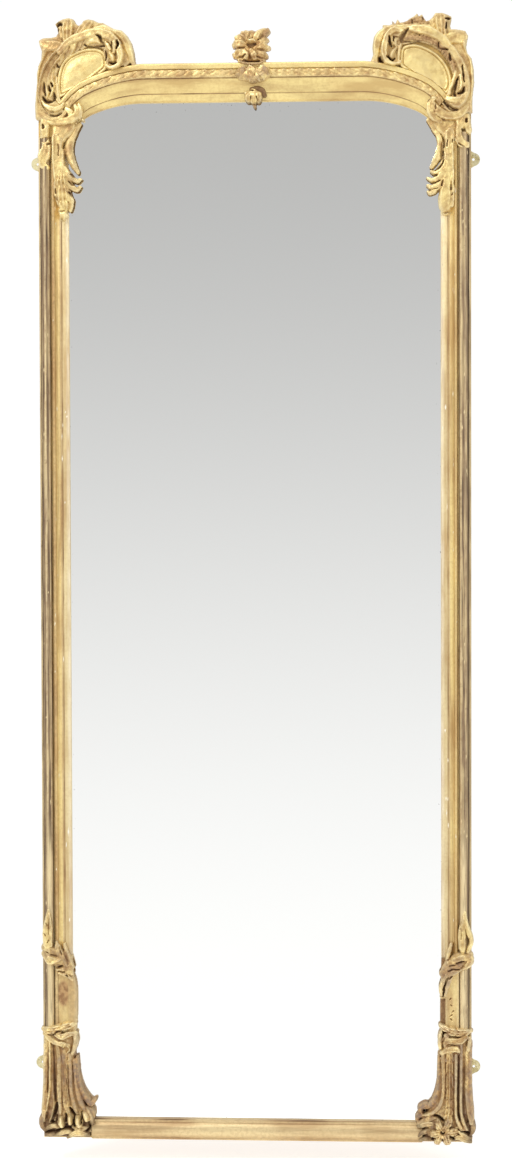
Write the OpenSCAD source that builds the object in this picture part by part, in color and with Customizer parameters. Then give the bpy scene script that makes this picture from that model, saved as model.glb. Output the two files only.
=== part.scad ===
// Pier mirror with a gilded frame, carved corner crests and feet.
// Plan view: x to the right, y up, z out from the wall; set_on_wall() turns it upright.
// The origin is the middle of the four wall-plate holes, in the wall plane.

/* [Frame] */
// Width over the outer edges of the stiles
frame_w = 858; // [800:1:940]
// Height from the bottom edge to the top edge of the frame
frame_h = 2145; // [2000:5:2400]
// Face of a stile, from its outer edge to the sight edge
stile_face = 60; // [58:0.5:66]
// Face of the head rail, from its top edge to the flat of the sight
head_face = 77; // [74:1:86]
// Face of the bottom rail
foot_face = 41; // [38:1:52]
// Thickness of the pine carcase
carcase_t = 24; // [22:0.5:30]

/* [Head curve] */
// Radius of the tight part of each top corner of the sight
corner_r = 80; // [70:1:90]
// Angle that the tight part turns
corner_turn = 67; // [60:1:72]
// Radius of the wide part that meets the flat
shoulder_r = 260; // [230:5:290]

/* [Mouldings] */
// Radius of the half-round along each stile
torus_r = 10; // [8:0.5:11]
// Distance from the stile's edge to the half-round
torus_edge = 3; // [2:0.5:4]
// Height of the half-round's centre above the carcase
torus_lift = 12; // [10:0.5:14]
// Radius of the bead beside the half-round
bead_r = 3.4; // [2.5:0.1:3.6]
// Height of the bead's centre above the carcase
bead_lift = 16.5; // [14:0.5:18]
// Radius of the hollow beside the bead
hollow_r = 9; // [7:0.5:10]
// Width of the slip next to the glass
slip_w = 18; // [16:0.5:19]
// Thickness of the slip at its outer edge
slip_t = 9; // [7:0.5:10]
// Thickness of the slip at the sight edge
slip_lip = 3; // [2:0.5:4]
// Height of the head moulding's top fillet above the carcase
fillet_lift = 24; // [22:0.5:27]
// Width of the top fillet
fillet_w = 11; // [9:0.5:13]
// Width of the seat for the leaf strip
seat_w = 16; // [14:0.5:18]
// Height of the seat above the carcase
seat_lift = 19; // [17:0.5:20]
// Rise of the leaf strip above its seat
strip_rise = 4; // [3:0.5:5]
// Height of the bottom moulding's cushion above the carcase
cushion_lift = 18; // [15:0.5:22]

/* [Glass and back] */
// Thickness of the glass
glass_t = 4; // [3:0.5:6]
// Cover of the mouldings over the carcase opening
sight_cover = 10; // [8:0.5:12]
// Free play round the edge of the glass
glass_play = 1; // [0.5:0.25:2]
// Thickness of the backboards
board_t = 9; // [6:0.5:10]
// Width of the rebate that holds the backboards
rebate_w = 12; // [10:0.5:14]
// Number of backboards
board_count = 6; // [6]
// Gap between neighbouring backboards
board_gap = 1; // [0.5:0.25:2]
// Length of a glass block
block_l = 70; // [50:5:90]
// Width of a glass block on the glass
block_w = 14; // [10:1:18]
// Glass blocks along each stile
block_rows = 6; // [4:1:8]
// Radius of a backboard screw's shank
board_screw_r = 1.6; // [1.2:0.1:2]
// Length of a backboard screw
board_screw_l = 17; // [14:0.5:20]

/* [Wall plates] */
// Distance of the top holes below the top edge of the frame
plate_from_top = 192; // [160:1:230]
// Distance of the bottom holes above the bottom edge
plate_from_foot = 147; // [120:1:180]
// Distance of a hole outside the stile's edge
plate_reach = 5; // [4:0.5:8]
// Radius of the hole for the wall screw
wall_hole_r = 2.6; // [2:0.1:3.2]
// Radius of the round ear
ear_r = 13; // [11:0.5:15]
// Thickness of the brass
plate_t = 2; // [1.5:0.25:3]
// Height of the plate's base on the stile
plate_base = 46; // [40:1:56]
// Distance between the two screws of a plate
plate_screw_pitch = 30; // [24:1:36]
// Radius of a plate screw's shank
plate_screw_r = 1.8; // [1.4:0.1:2.2]
// Length of a plate screw
plate_screw_l = 16; // [12:0.5:20]

/* [Crests] */
// Thickness of the crest boards
crest_board_t = 12; // [10:0.5:14]
// Thickness of the half-moon field on the crest board
panel_t = 7; // [5:0.5:9]
// Height of the raised border of the field
border_rise = 4; // [3:0.5:6]
// Width of the raised border
border_w = 7; // [5:0.5:9]
// Radius of a crest screw's shank
crest_screw_r = 2.2; // [1.8:0.1:2.6]

/* [Ornament] */
// Height of the crest's scroll above the carcase
scroll_rise = 42; // [36:1:48]
// Height of the foot sheath above the carcase
foot_rise = 40; // [36:1:48]
// Height of the centre shell above its back
shell_rise = 36; // [30:1:42]
// Radius of the dowel that carries the shell
peg_r = 4; // [3:0.5:5]
// Clearance between a casting and what it is laid over
seat_gap = 0.15; // [0.1:0.05:0.3]
// Number of lobes round the shell
shell_lobes = 9; // [7:1:11]

/* [Hidden] */
$fn = 40;

edge_x = frame_w / 2;
hole_x = edge_x + plate_reach;
hole_y = (frame_h - plate_from_top - plate_from_foot) / 2;
top_y = hole_y + plate_from_top;
foot_y = -hole_y - plate_from_foot;
sight_x = edge_x - stile_face;
sight_top = top_y - head_face;
sight_foot = foot_y + foot_face;
// opening of the carcase, behind the mouldings
open_x = sight_x + sight_cover;
open_top = sight_top + sight_cover;
open_foot = sight_foot - sight_cover;
back_x = open_x + rebate_w;
back_top = open_top + rebate_w;
back_foot = open_foot - rebate_w;
// centres of the two arcs of the right top corner
shoulder_c = [sight_x - corner_r - (shoulder_r - corner_r) * cos(corner_turn),
              sight_top - shoulder_r];
corner_x = sight_x - corner_r;
spring_y = sight_top - shoulder_r + (shoulder_r - corner_r) * sin(corner_turn);
// where the run mouldings start and stop, as heights above the bottom edge
clasp_y = 370;
panel_foot = 212;
crest_drop = 143;
// top of the toes, where the flutes of the foot start
toe_top = 46;
// more than any casting is deep
over = 200;
// angle at which the head moulding is cut off behind the corner scroll
head_start = 46;
torus_x = torus_edge + torus_r;
torus_w = torus_edge + 2 * torus_r + 1;
panel_lift = 19;
panel_cover = 12;

// ---- shared functions ----

// Smooth curve through chosen points of any dimension
function bend(p, i, t) =
  let (a = p[max(i - 1, 0)], b = p[i], c = p[i + 1], d = p[min(i + 2, len(p) - 1)])
  0.5 * (2 * b + (c - a) * t + (2 * a - 5 * b + 4 * c - d) * t * t
  + (3 * b - a - 3 * c + d) * t * t * t);
function curve(p, n) =
  [for (i = [0:len(p) - 2]) for (k = [0:n - 1]) bend(p, i, k / n), p[len(p) - 1]];
function unit(v) = v / max(norm(v), 0.001);
function heading(p, i) =
  let (q = p[min(i + 1, len(p) - 1)] - p[max(i - 1, 0)]) unit([q[0], q[1]]);

// Sections across a leaf or a scroll: [side -1..1, share of the height]
GOUGED = [[-1, 0], [-0.62, 1], [0, 0.72], [0.62, 1], [1, 0]];
ROUND = [[-1, 0], [-0.7, 0.85], [0, 1], [0.7, 0.85], [1, 0]];
HOLLOW = [[-1, 0], [-0.85, 1], [0, 0.66], [0.85, 1], [1, 0]];

// Point of the right half of the head at angle a, e outward from the sight edge
function narrow(a) = a < head_start ? a / head_start : (90 - a) / (90 - head_start);
function spread(e, a) = e <= slip_w ? e * (1 - 0.5 * narrow(a))
  : slip_w * (1 - 0.5 * narrow(a)) + (e - slip_w) * (1 - 0.18 * narrow(a));
function head_xy(a, e) = a <= corner_turn
  ? [corner_x, spring_y] + (corner_r + e) * [cos(a), sin(a)]
  : shoulder_c + (shoulder_r + e) * [cos(a), sin(a)];
STATIONS = [for (i = [0:4]) head_start * i / 5,
  for (i = [0:3]) head_start + (corner_turn - head_start) * i / 4,
  for (i = [0:5]) corner_turn + (90 - corner_turn) * i / 5];
function head_stations(a0) = [for (a = STATIONS) if (a > a0 - 0.01) a];
function mirrored(p) = [-p[0], p[1], p[2]];
// a row of points drawn from the level y, and one whose second numbers are shares of the way
// from the top of the toes to the foot of the panel
function raised(points, y) = [for (p = points) [p[0], p[1] + y, p[2], p[3]]];
function sheathed(points) =
  [for (p = points) [p[0], toe_top + p[1] * (panel_foot - toe_top), p[2], p[3]]];

// Closed rings skinned into one solid
module skin(rings) {
  m = len(rings[0]);
  n = len(rings);
  polyhedron(
    points = [for (r = rings) each r],
    faces = [
      for (i = [0:n - 2]) for (j = [0:m - 1])
        let (a = i * m + j, b = i * m + (j + 1) % m, c = a + m, d = b + m) each [[a, b, d], [a, d, c]],
      [for (j = [m - 1:-1:0]) j],
      [for (j = [0:m - 1]) (n - 1) * m + j]],
    convexity = 6);
}

// A moulding along the whole head, from the spring angle a0 on the right to the left;
// with a leg, it also runs straight down beside the glass to that height
module head_run(profile, a0, leg = undef) {
  half = [if (leg != undef) [for (p = profile) [sight_x + p[0], leg, p[1]]],
    for (a = head_stations(a0)) [for (p = profile)
      let (q = head_xy(a, spread(p[0], a))) [q[0], q[1], p[1]]]];
  skin([for (r = half) r, for (i = [len(half) - 1:-1:0]) [for (p = half[i]) mirrored(p)]]);
}

// A leaf, rib or scroll in relief: points [x, y, half width, height] on a flat back
module relief(points, section = GOUGED, base = 0, n = 2) {
  p = curve(points, n);
  skin([for (i = [0:len(p) - 1])
    let (t = heading(p, i), w = max(p[i][2], 0.6), h = max(p[i][3], base + 1))
    [for (s = section)
      [p[i][0] - t[1] * s[0] * w, p[i][1] + t[0] * s[0] * w, base + (h - base) * s[1]]]]);
}
module footprint(points, grow, n = 2) {
  p = curve(points, n);
  side = function (i, s) let (t = heading(p, i)) [p[i][0] - t[1] * s, p[i][1] + t[0] * s];
  polygon([for (i = [0:len(p) - 1]) side(i, p[i][2] + grow),
           for (i = [len(p) - 1:-1:0]) side(i, -p[i][2] - grow)]);
}

// A round boss with a domed top
module knob(x, y, r, h, base = 0) {
  translate([x, y, base]) rotate_extrude($fn = 10)
    polygon([[0, 0], [r, 0], [r, (h - base) * 0.6], [r * 0.6, (h - base) * 0.92], [0, h - base]]);
}

module set_on_wall() { rotate([90, 0, 0]) children(); }
module both(side) { mirror([side < 0 ? 1 : 0, 0, 0]) children(); }
// One casting: its leaves and ribs become a single closed surface
module casting() { resize([0, 0, 0]) children(); }
module at_crest() { translate([edge_x, top_y, carcase_t]) children(); }
module at_foot() { translate([edge_x, foot_y, carcase_t]) children(); }

// ---- profiles, with x across the moulding and y out from the carcase ----

module torus_profile(gap = 0) {
  translate([1 - gap, -1]) square([torus_w - 1 + 2 * gap, torus_lift - 1 + gap]);
  translate([torus_x, torus_lift]) round_with_room(torus_r, gap);
}
// a circle, or with a gap the few-sided outline that stays clear of it
module round_with_room(r, gap) {
  if (gap > 0) circle(r = (r + gap) / cos(180 / 16), $fn = 16);
  else circle(r = r);
}
inner_w = stile_face - slip_w - torus_w;
module inner_profile(gap = 0) {
  difference() {
    translate([-gap, -1]) square([inner_w + 2 * gap, bead_lift + 1 + gap]);
    translate([inner_w + gap, bead_lift + gap]) circle(r = hollow_r - gap);
  }
  translate([bead_r, bead_lift]) round_with_room(bead_r, gap);
}
// across the slip from its sight edge
function slip_points(gap = 0) =
  [[-gap, -gap], [slip_w, -gap], [slip_w, slip_t + gap], [slip_w * 0.55, slip_t * 0.72 + gap],
   [slip_w * 0.16, slip_lip + 1.6 + gap], [-gap, slip_lip + gap]];
seat_out = head_face - fillet_w;
seat_in = seat_out - seat_w;
// the wide hollow of the head, seat and top fillet
function head_points(gap = 0) = let (g = gap, hw = seat_in - slip_w - 2) [
  [slip_w - g, -g], [head_face + g, -g], [head_face + g, fillet_lift - 4 + g],
  [head_face - 4 + g, fillet_lift + g], [seat_out + 1 - g, fillet_lift + g],
  [seat_out - g, seat_lift + g], [seat_in + g, seat_lift + g],
  for (k = [0:5]) let (f = 1 - k / 5)
    [slip_w + 2 + hw * f + g, slip_t + 1 + (seat_lift + 1 - slip_t) * pow(f, 1.7) + g],
  [slip_w - g, slip_t + 1 + g]];

// ---- carcase ----

module screw_shank(r, l) { cylinder(r = r, h = l, $fn = 20); }

// places of the two screws of each wall plate, and of the plates
module at_plates() {
  for (s = [-1, 1]) for (t = [-1, 1]) translate([s * hole_x, t * hole_y, 0])
    mirror([s < 0 ? 1 : 0, 0, 0]) children();
}
plate_screw_x = plate_reach + 18;
module at_plate_screws() {
  at_plates() for (t = [-1, 1])
    translate([-plate_screw_x, t * plate_screw_pitch / 2, 0]) children();
}
module plate_solid(t, grow = 0) {
  cylinder(r = ear_r + grow, h = t);
  linear_extrude(t) polygon([
    [2, ear_r + grow], [2, -ear_r - grow],
    [-plate_screw_x + 8, -plate_base / 2 - grow], [-plate_screw_x - 7 - grow, -plate_base / 2 - grow],
    [-plate_screw_x - 7 - grow, plate_base / 2 + grow], [-plate_screw_x + 8, plate_base / 2 + grow]]);
}
crest_screw_places = [[-30, -28], [-100, -14], [-22, -96]];
crest_head_t = 2;
module at_crest_screws() {
  for (s = [-1, 1]) both(s) for (p = crest_screw_places)
    translate([edge_x + p[0], top_y + p[1], 0]) children();
}
board_h = (back_top - back_foot - glass_play - (board_count - 1) * board_gap) / board_count;
board_half = back_x - glass_play / 2;
function board_y(i) = back_foot + glass_play / 2 + i * (board_h + board_gap);
board_screw_x = (open_x + back_x) / 2;
module at_board_screws() {
  for (s = [-1, 1]) for (i = [0:board_count - 1]) for (f = [0.2, 0.8])
    translate([s * board_screw_x, board_y(i) + f * board_h, 0]) children();
}
module carcase_cuts() {
  translate([-back_x, back_foot, -1]) cube([2 * back_x, back_top - back_foot, board_t + 1]);
  translate([0, 0, -1]) at_plates() plate_solid(plate_t + 1, seat_gap);
  at_plate_screws() screw_shank(plate_screw_r + 0.1, plate_screw_l + 1);
  at_board_screws() screw_shank(board_screw_r + 0.1, board_screw_l + 1);
  translate([0, 0, -1]) at_crest_screws() {
    screw_shank(crest_screw_r + 0.2, carcase_t + 2);
    cylinder(r = 2 * crest_screw_r + 0.3, h = crest_head_t + 1.3, $fn = 20);
  }
}
stile_in = open_x;
module stile(side) {
  color("burlywood") set_on_wall() both(side) difference() {
    union() {
      translate([stile_in, foot_y, 0]) cube([edge_x - stile_in, frame_h, carcase_t / 2]);
      translate([stile_in, open_foot, 0])
        cube([edge_x - stile_in, open_top - open_foot, carcase_t]);
    }
    carcase_cuts();
  }
}
module rail(y0, y1) {
  color("burlywood") set_on_wall() difference() {
    union() {
      translate([-stile_in, y0, 0]) cube([2 * stile_in, y1 - y0, carcase_t]);
      translate([-edge_x, y0, carcase_t / 2]) cube([2 * edge_x, y1 - y0, carcase_t / 2]);
    }
    carcase_cuts();
    // seat of the shell's dowel
    translate([0, top_y + 1, carcase_t / 2]) rotate([90, 0, 0])
      cylinder(r = peg_r + 0.1, h = peg_in + 2, $fn = 32);
  }
}

// ---- glass and back ----

module mirror_glass() {
  color("lightsteelblue") set_on_wall()
    translate([-open_x + glass_play, open_foot + glass_play, carcase_t - glass_t])
      cube([2 * (open_x - glass_play), open_top - open_foot - 2 * glass_play, glass_t]);
}
block_t = carcase_t - glass_t - board_t;
// a softwood block, chamfered on the side away from the carcase
module glass_block() {
  rotate([90, 0, 0]) translate([0, 0, -block_l / 2]) linear_extrude(block_l)
    polygon([[0, 0], [-block_w * 0.4, 0], [-block_w, block_t * 0.6], [-block_w, block_t], [0, block_t]]);
}
module glass_blocks() {
  pitch = (open_top - open_foot - block_l - 40) / (block_rows - 1);
  color("wheat") set_on_wall() translate([0, 0, board_t]) {
    for (s = [-1, 1]) for (i = [0:block_rows - 1])
      both(s) translate([open_x, open_foot + 20 + block_l / 2 + i * pitch, 0]) glass_block();
    for (x = [-1, 0, 1]) {
      translate([x * open_x * 0.6, open_top, 0]) rotate([0, 0, 90]) glass_block();
      translate([x * open_x * 0.6, open_foot, 0]) rotate([0, 0, -90]) glass_block();
    }
  }
}
module backboard(i) {
  color("peru") set_on_wall() difference() {
    translate([-board_half, board_y(i), 0]) cube([2 * board_half, board_h, board_t]);
    at_board_screws() {
      translate([0, 0, -1]) screw_shank(board_screw_r + 0.1, board_t + 2);
      board_screw_head(0.1);
    }
  }
}
module board_screw_head(gap) {
  cylinder(r1 = 2 * board_screw_r + gap, r2 = board_screw_r + gap, h = board_screw_r, $fn = 20);
}
module backboard_screws() {
  color("dimgray") set_on_wall() at_board_screws() {
    board_screw_head(0);
    screw_shank(board_screw_r, board_screw_l);
  }
}

// ---- wall plates ----

plate_sink = 1.6;
module wall_plate(side, level) {
  color("goldenrod") set_on_wall() translate([side * hole_x, level * hole_y, 0]) both(side)
    difference() {
      plate_solid(plate_t);
      translate([0, 0, -1]) cylinder(r = wall_hole_r, h = plate_t + 2, $fn = 32);
      for (t = [-1, 1]) translate([-plate_screw_x, t * plate_screw_pitch / 2, 0]) {
        translate([0, 0, -1]) screw_shank(plate_screw_r + 0.1, plate_t + 2);
        plate_screw_head(0.1);
      }
    }
}
module plate_screw_head(gap) {
  cylinder(r1 = 2 * plate_screw_r + gap, r2 = plate_screw_r + gap, h = plate_sink, $fn = 20);
}
module wall_plate_screws() {
  color("silver") set_on_wall() at_plate_screws() {
    plate_screw_head(0);
    screw_shank(plate_screw_r, plate_screw_l);
  }
}
module crest_screws() {
  color("dimgray") set_on_wall() at_crest_screws() {
    cylinder(r = 2 * crest_screw_r, h = crest_head_t, $fn = 20);
    screw_shank(crest_screw_r, carcase_t + crest_board_t - 3);
  }
}

// ---- mouldings ----

// a straight run beside the glass: the profile's x goes outward from x0
module upright_run(x0, y0, y1) {
  translate([x0, y1, carcase_t]) rotate([90, 0, 0]) linear_extrude(y1 - y0) children();
}
module torus(side) {
  color("peru") set_on_wall() both(side) difference() {
    upright_run(edge_x, foot_y + panel_foot, top_y - crest_drop) mirror([1, 0]) torus_profile();
    translate([0, foot_y, 0]) cube([frame_w, frame_h, carcase_t]);
  }
}
module inner_moulding(side) {
  color("gold") set_on_wall() both(side) difference() {
    upright_run(edge_x - torus_w, foot_y + clasp_y, top_y - crest_drop)
      mirror([1, 0]) inner_profile();
    translate([0, foot_y, 0]) cube([frame_w, frame_h, carcase_t]);
  }
}
module slip(side) {
  color("khaki") set_on_wall() both(side)
    upright_run(sight_x, foot_y + clasp_y, spring_y) polygon(slip_points());
}
module head_slip() {
  color("khaki") set_on_wall() casting() translate([0, 0, carcase_t]) head_run(slip_points(), 0);
}
module head_moulding() {
  color("gold") set_on_wall() casting() translate([0, 0, carcase_t])
    head_run(head_points(), head_start);
}
strip_in = seat_in + 1.5;
strip_out = seat_out - 1.5;
function strip_points(g = 0) = [for (k = [0:6]) let (f = k / 6)
  [strip_out + g - (strip_out - strip_in + 2 * g) * f,
   seat_lift + strip_rise * sin(180 * f) + (k % 6 ? 0.6 : 0) + g * (k % 6 ? 1 : -1)]];
module strip_run(g = 0) {
  from = head_stations(head_start + 1);
  translate([0, 0, carcase_t])
    skin(concat([for (i = [0:len(from) - 1]) let (a = from[i] - (i == 0 ? g : 0)) [for (p = strip_points(g))
      let (q = head_xy(a, spread(p[0], a))) [q[0], q[1], p[1]]]],
      [[for (p = strip_points(g)) [strip_stop, sight_top + p[0], p[1]]]]));
}
module head_enrichment(side) {
  color("goldenrod") set_on_wall() casting() both(side) strip_run();
}
// the strip stops this far from the middle, against the centre clasp
strip_stop = 38;
// plain cushion between fillets, x down from the sight edge
module bottom_profile() {
  intersection() {
    translate([0, 0]) square([foot_face, cushion_lift]);
    union() {
      translate([0, 0]) square([foot_face, cushion_lift - 7]);
      translate([foot_face * 0.53, cushion_lift - 20]) circle(r = 20, $fn = 64);
    }
  }
}
foot_in = 98;
module bottom_moulding() {
  color("gold") set_on_wall() translate([-edge_x + foot_in, sight_foot, carcase_t])
    rotate([90, 0, 90]) linear_extrude(2 * (edge_x - foot_in)) mirror([1, 0]) bottom_profile();
}
// what a casting may not enter: carcase, mouldings, and the boards under it
module taken() {
  g = seat_gap;
  translate([0, foot_y - 1, -over]) cube([frame_w, frame_h + 1, over + carcase_t + g]);
  upright_run(edge_x, foot_y + panel_foot - g, top_y - crest_drop + g)
    mirror([1, 0]) torus_profile(g);
  upright_run(edge_x - torus_w, foot_y + clasp_y - g, top_y - crest_drop + g)
    mirror([1, 0]) inner_profile(g);
  translate([0, 0, carcase_t]) {
    head_run(slip_points(g), 0, foot_y + clasp_y - g);
    head_run(head_points(g), head_start);
  }
  translate([-edge_x + foot_in, sight_foot + g, carcase_t]) rotate([90, 0, 90])
    linear_extrude(2 * (edge_x - foot_in) + g) mirror([1, 0]) offset(delta = g) bottom_profile();
}

// ---- crests ----

crest_outline = [[-5, -crest_drop], [-4, -60], [-9, 0], [-16, 42], [-40, 50], [-44, 74], [-64, 80],
  [-80, 66], [-110, 74], [-142, 58], [-162, 46], [-171, 26], [-174, -2], [-150, -60], [-90, -crest_drop]];
module crest_board(side) {
  color("burlywood") set_on_wall() both(side) difference() {
    at_crest() linear_extrude(crest_board_t) polygon(crest_outline);
    // room for the mouldings that run past under the crest
    translate([0, 0, carcase_t - 1]) {
      linear_extrude(crest_board_t + 2) head_field(seat_gap);
      linear_extrude(crest_board_t + 2) polygon(concat(
        [[0, 0], [sight_x + slip_w + seat_gap, spring_y - 100]],
        [for (a = head_stations(0)) head_xy(a, spread(slip_w, a) + seat_gap)],
        [[0, top_y]]));
    }
    translate([0, 0, -1]) at_crest_screws()
      screw_shank(crest_screw_r + 0.1, carcase_t + crest_board_t - 1);
  }
}
// everything inside the outer edge of the head moulding, down to its cut end
module head_field(gap) {
  polygon(concat([[0, 0], [corner_x - gap, spring_y]], [for (a = head_stations(head_start))
    head_xy(a - gap, spread(head_face + gap, a))], [[0, top_y + gap]]));
}
function moon_low(e, a0, a1) = [for (i = [0:6]) let (a = a0 + (a1 - a0) * i / 6)
  head_xy(a, spread(head_face + e, a))];
// upper edge of the reserve, relative to the crest's corner
moon_top = [[-52, -58], [-46, -44], [-47, -28], [-56, -8], [-76, 14], [-104, 27], [-124, 22],
  [-136, 6], [-138, -8]];
module moon(grow) {
  offset(delta = grow) polygon(concat(
    [for (p = curve(moon_top, 2)) p + [edge_x, top_y]],
    moon_low(0.6, 78, 52)));
}
module crest_panel(side) {
  color("khaki") set_on_wall() casting() both(side) translate([0, 0, carcase_t + crest_board_t]) {
    linear_extrude(panel_t) moon(-seat_gap);
    linear_extrude(panel_t + border_rise) difference() {
      moon(-seat_gap);
      moon(-border_w);
    }
  }
}
// centre line of the C-scroll from the lower outer end to the volute
scroll_line = [[-30, -106, 8, 28], [-16, -92, 9, 34], [-12, -66, 9, 36], [-14, -36, 9, 38],
  [-26, -6, 10, 40], [-48, 22, 11, 41], [-76, 42, 11, 42], [-104, 54, 11, 41], [-132, 54, 11, 42],
  [-152, 40, 12, 42], [-162, 18, 11, 42], [-160, -2, 9, 40], [-148, -10, 7, 38], [-140, -4, 5, 34]];
swirl = [[[-20, -46, 4, 24], [-30, -68, 6, 31], [-40, -88, 5, 31], [-52, -94, 4, 26]]];
fingers = [[[-124, 30, 5, 24], [-122, 40, 6, 32], [-112, 48, 5, 30]],
           [[-104, 34, 4, 22], [-100, 40, 6, 30], [-90, 46, 5, 30]],
           [[-148, 14, 5, 24], [-142, 26, 6, 32], [-148, 38, 5, 30]]];
module scroll_cut() {
  translate([edge_x, top_y, 0]) footprint(scroll_line, seat_gap);
}
module crest_scroll(side) {
  k = scroll_rise / 42;
  color("gold") set_on_wall() casting() both(side) difference() {
    at_crest() scale([1, 1, k]) {
      relief(scroll_line, HOLLOW);
      for (f = concat(swirl, fingers)) relief(f, ROUND);
    }
    taken();
    crest_room();
  }
}
// room of the crest board and of the reserve under the castings
module crest_room() {
  g = seat_gap;
  translate([0, 0, carcase_t]) linear_extrude(crest_board_t + g) difference() {
    translate([edge_x, top_y]) offset(delta = g) polygon(crest_outline);
    head_field(-g);
  }
  translate([0, 0, carcase_t]) linear_extrude(crest_board_t + panel_t + border_rise + g) moon(0);
}
crown_rim = [[-2, -104, 6, 22], [0, -60, 7, 24], [-4, -22, 7, 24], [-18, 12, 7, 24],
  [-40, 38, 8, 24], [-70, 58, 8, 24], [-104, 70, 8, 24], [-138, 68, 8, 24], [-164, 52, 8, 24],
  [-177, 26, 7, 24], [-176, 4, 5, 20]];
crown_leaves = [
  [[-3, -110, 4, 16], [-1, -66, 6, 26], [-3, -30, 8, 30], [-9, 4, 10, 32], [-14, 30, 12, 32],
   [-12, 46, 10, 26]],
  [[-50, 36, 9, 34], [-34, 40, 13, 32], [-18, 42, 14, 28], [-8, 44, 10, 20]],
  [[-64, 46, 8, 36], [-60, 62, 11, 34], [-56, 78, 15, 30], [-54, 88, 13, 22]],
  [[-52, 56, 6, 32], [-44, 70, 7, 28], [-38, 82, 4, 18]],
  [[-78, 58, 8, 34], [-94, 74, 12, 32], [-114, 82, 9, 26], [-136, 78, 6, 18]],
  [[-116, 64, 8, 36], [-142, 62, 11, 36], [-164, 54, 12, 34], [-180, 38, 10, 30],
   [-185, 16, 9, 28], [-188, 2, 7, 24], [-195, -4, 4, 14]]];
module crest_crown(side) {
  color("gold") set_on_wall() casting() both(side) difference() {
    at_crest() {
      relief(crown_rim, ROUND, n = 1);
      for (f = crown_leaves) relief(f, n = 1);
    }
    taken();
    crest_room();
    linear_extrude(over) scroll_cut();
  }
}
corner_leaves = [
  [[-56, -84, 5, 30], [-68, -76, 7, 36], [-82, -80, 8, 38], [-88, -96, 9, 36], [-78, -112, 9, 32],
   [-58, -122, 9, 30], [-38, -124, 8, 28], [-22, -116, 6, 24]],
  [[-79, -90, 6, 32], [-64, -103, 7, 32], [-45, -117, 6, 30]]];
saddle = [[-52, -118, 30, 20], [-50, -130, 26, 22], [-45, -142, 18, 24], [-42, -152, 12, 26]];
module corner_scroll(side) {
  color("gold") set_on_wall() casting() both(side) difference() {
    at_crest() {
      for (f = corner_leaves) relief(f, n = len(f) > 4 ? 1 : 2);
      relief(saddle, HOLLOW);
    }
    taken();
    crest_room();
    linear_extrude(over) scroll_cut();
    below_level(split_drop - seat_gap);
    torus_leaf_room(torus_leaf_top);
    strip_run(seat_gap);
  }
}
// everything lower than a drop below the top edge, for pieces that butt there
split_drop = 153;
module below_level(drop) {
  translate([0, top_y - drop - 2 * over, 0]) cube([frame_w, 2 * over, over]);
}
torus_leaf_top = [[-14, -118, 8, 24], [-14, -140, 9, 27], [-17, -160, 10, 28], [-14, -180, 9, 27],
  [-12, -199, 4, 23]];
module torus_leaf_room(points, anchor_y = top_y) {
  linear_extrude(over) translate([edge_x, anchor_y]) footprint(points, seat_gap);
}
module torus_leaf_high(side) {
  color("gold") set_on_wall() casting() both(side) difference() {
    at_crest() relief(torus_leaf_top);
    taken();
    crest_room();
    linear_extrude(over) scroll_cut();
  }
}
hang = 11;
drop_leaves = [
  [[-42, -150, 12, 27], [-44, -190, 13, 30], [-44, -235, 12, 28], [-46, -272, 10, 26], [-46, -292, 8, 22]],
  [[-44, -290, 7, 24], [-45, -300, 9, 26], [-45, -309, 5, 18]]];
drop_hooks = [
  [[-56, -150, 7, 27], [-66, -172, 8, 30], [-69, -192, 9, 29], [-74, -210, 6, 25], [-80, -218, 3, 18]],
  [[-55, -205, 8, 28.6], [-67, -226, 7, 29], [-78, -236, 5, 25], [-86, -232, 3, 19]],
  [[-52, -226, 8, 28], [-66, -244, 7, 27], [-79, -252, 5, 23], [-85, -247, 3, 18]],
  [[-50, -250, 8, 26], [-62, -264, 6, 24], [-70, -273, 3, 18]]];
module stile_drop(side) {
  color("gold") set_on_wall() casting() both(side) difference() {
    at_crest() {
      for (f = drop_leaves) relief(f);
      for (f = drop_hooks) relief(f, base = hang);
    }
    taken();
    crest_room();
    translate([0, top_y - split_drop, 0]) cube([frame_w, 2 * over, over]);
    torus_leaf_room(torus_leaf_top);
  }
}

// ---- clasps, panels and feet ----

torus_leaf_low = raised([[-13.5, 94, 4, 26], [-14, 76, 8, 29], [-13.5, 50, 10.2, 33],
  [-13.5, 32, 10.2, 30]], clasp_y);
upper_clasp_line = raised([[-3, 18, 7, 22], [-14, 16, 11, 31], [-28, 6, 12, 31], [-42, -12, 11, 28],
  [-54, -30, 9, 25], [-62, -48, 6, 22]], clasp_y);
lower_clasp_line = raised([[-5, 2, 8, 22], [-16, 4, 11, 30], [-34, 8, 12, 30], [-52, 12, 10, 28],
  [-65, 17, 6, 24]], panel_foot);
curled_leaf = raised([[-22, -2, 7, 28], [-34, -7, 10, 31], [-48, -18, 10, 31], [-58, -34, 7, 28],
  [-52, -42, 4, 24]], panel_foot);
module torus_leaf_below(side) {
  color("gold") set_on_wall() casting() both(side) difference() {
    at_foot() relief(torus_leaf_low, ROUND);
    taken();
    torus_leaf_room(upper_clasp_line, foot_y);
  }
}
module upper_clasp(side) {
  color("gold") set_on_wall() casting() both(side) difference() {
    at_foot() relief(upper_clasp_line);
    taken();
    panel_room();
  }
}
panel_in = stile_face + panel_cover;
module panel_body(gap = 0) {
  translate([edge_x - panel_in - gap, foot_y + panel_foot - gap, carcase_t - (gap > 0 ? 1 : 0)])
    cube([panel_in - torus_w + gap, clasp_y - panel_foot + (gap > 0 ? gap : -seat_gap),
          panel_lift + gap + (gap > 0 ? 1 : 0)]);
}
module panel_room() { panel_body(seat_gap); }
panel_round = 6;
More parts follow.
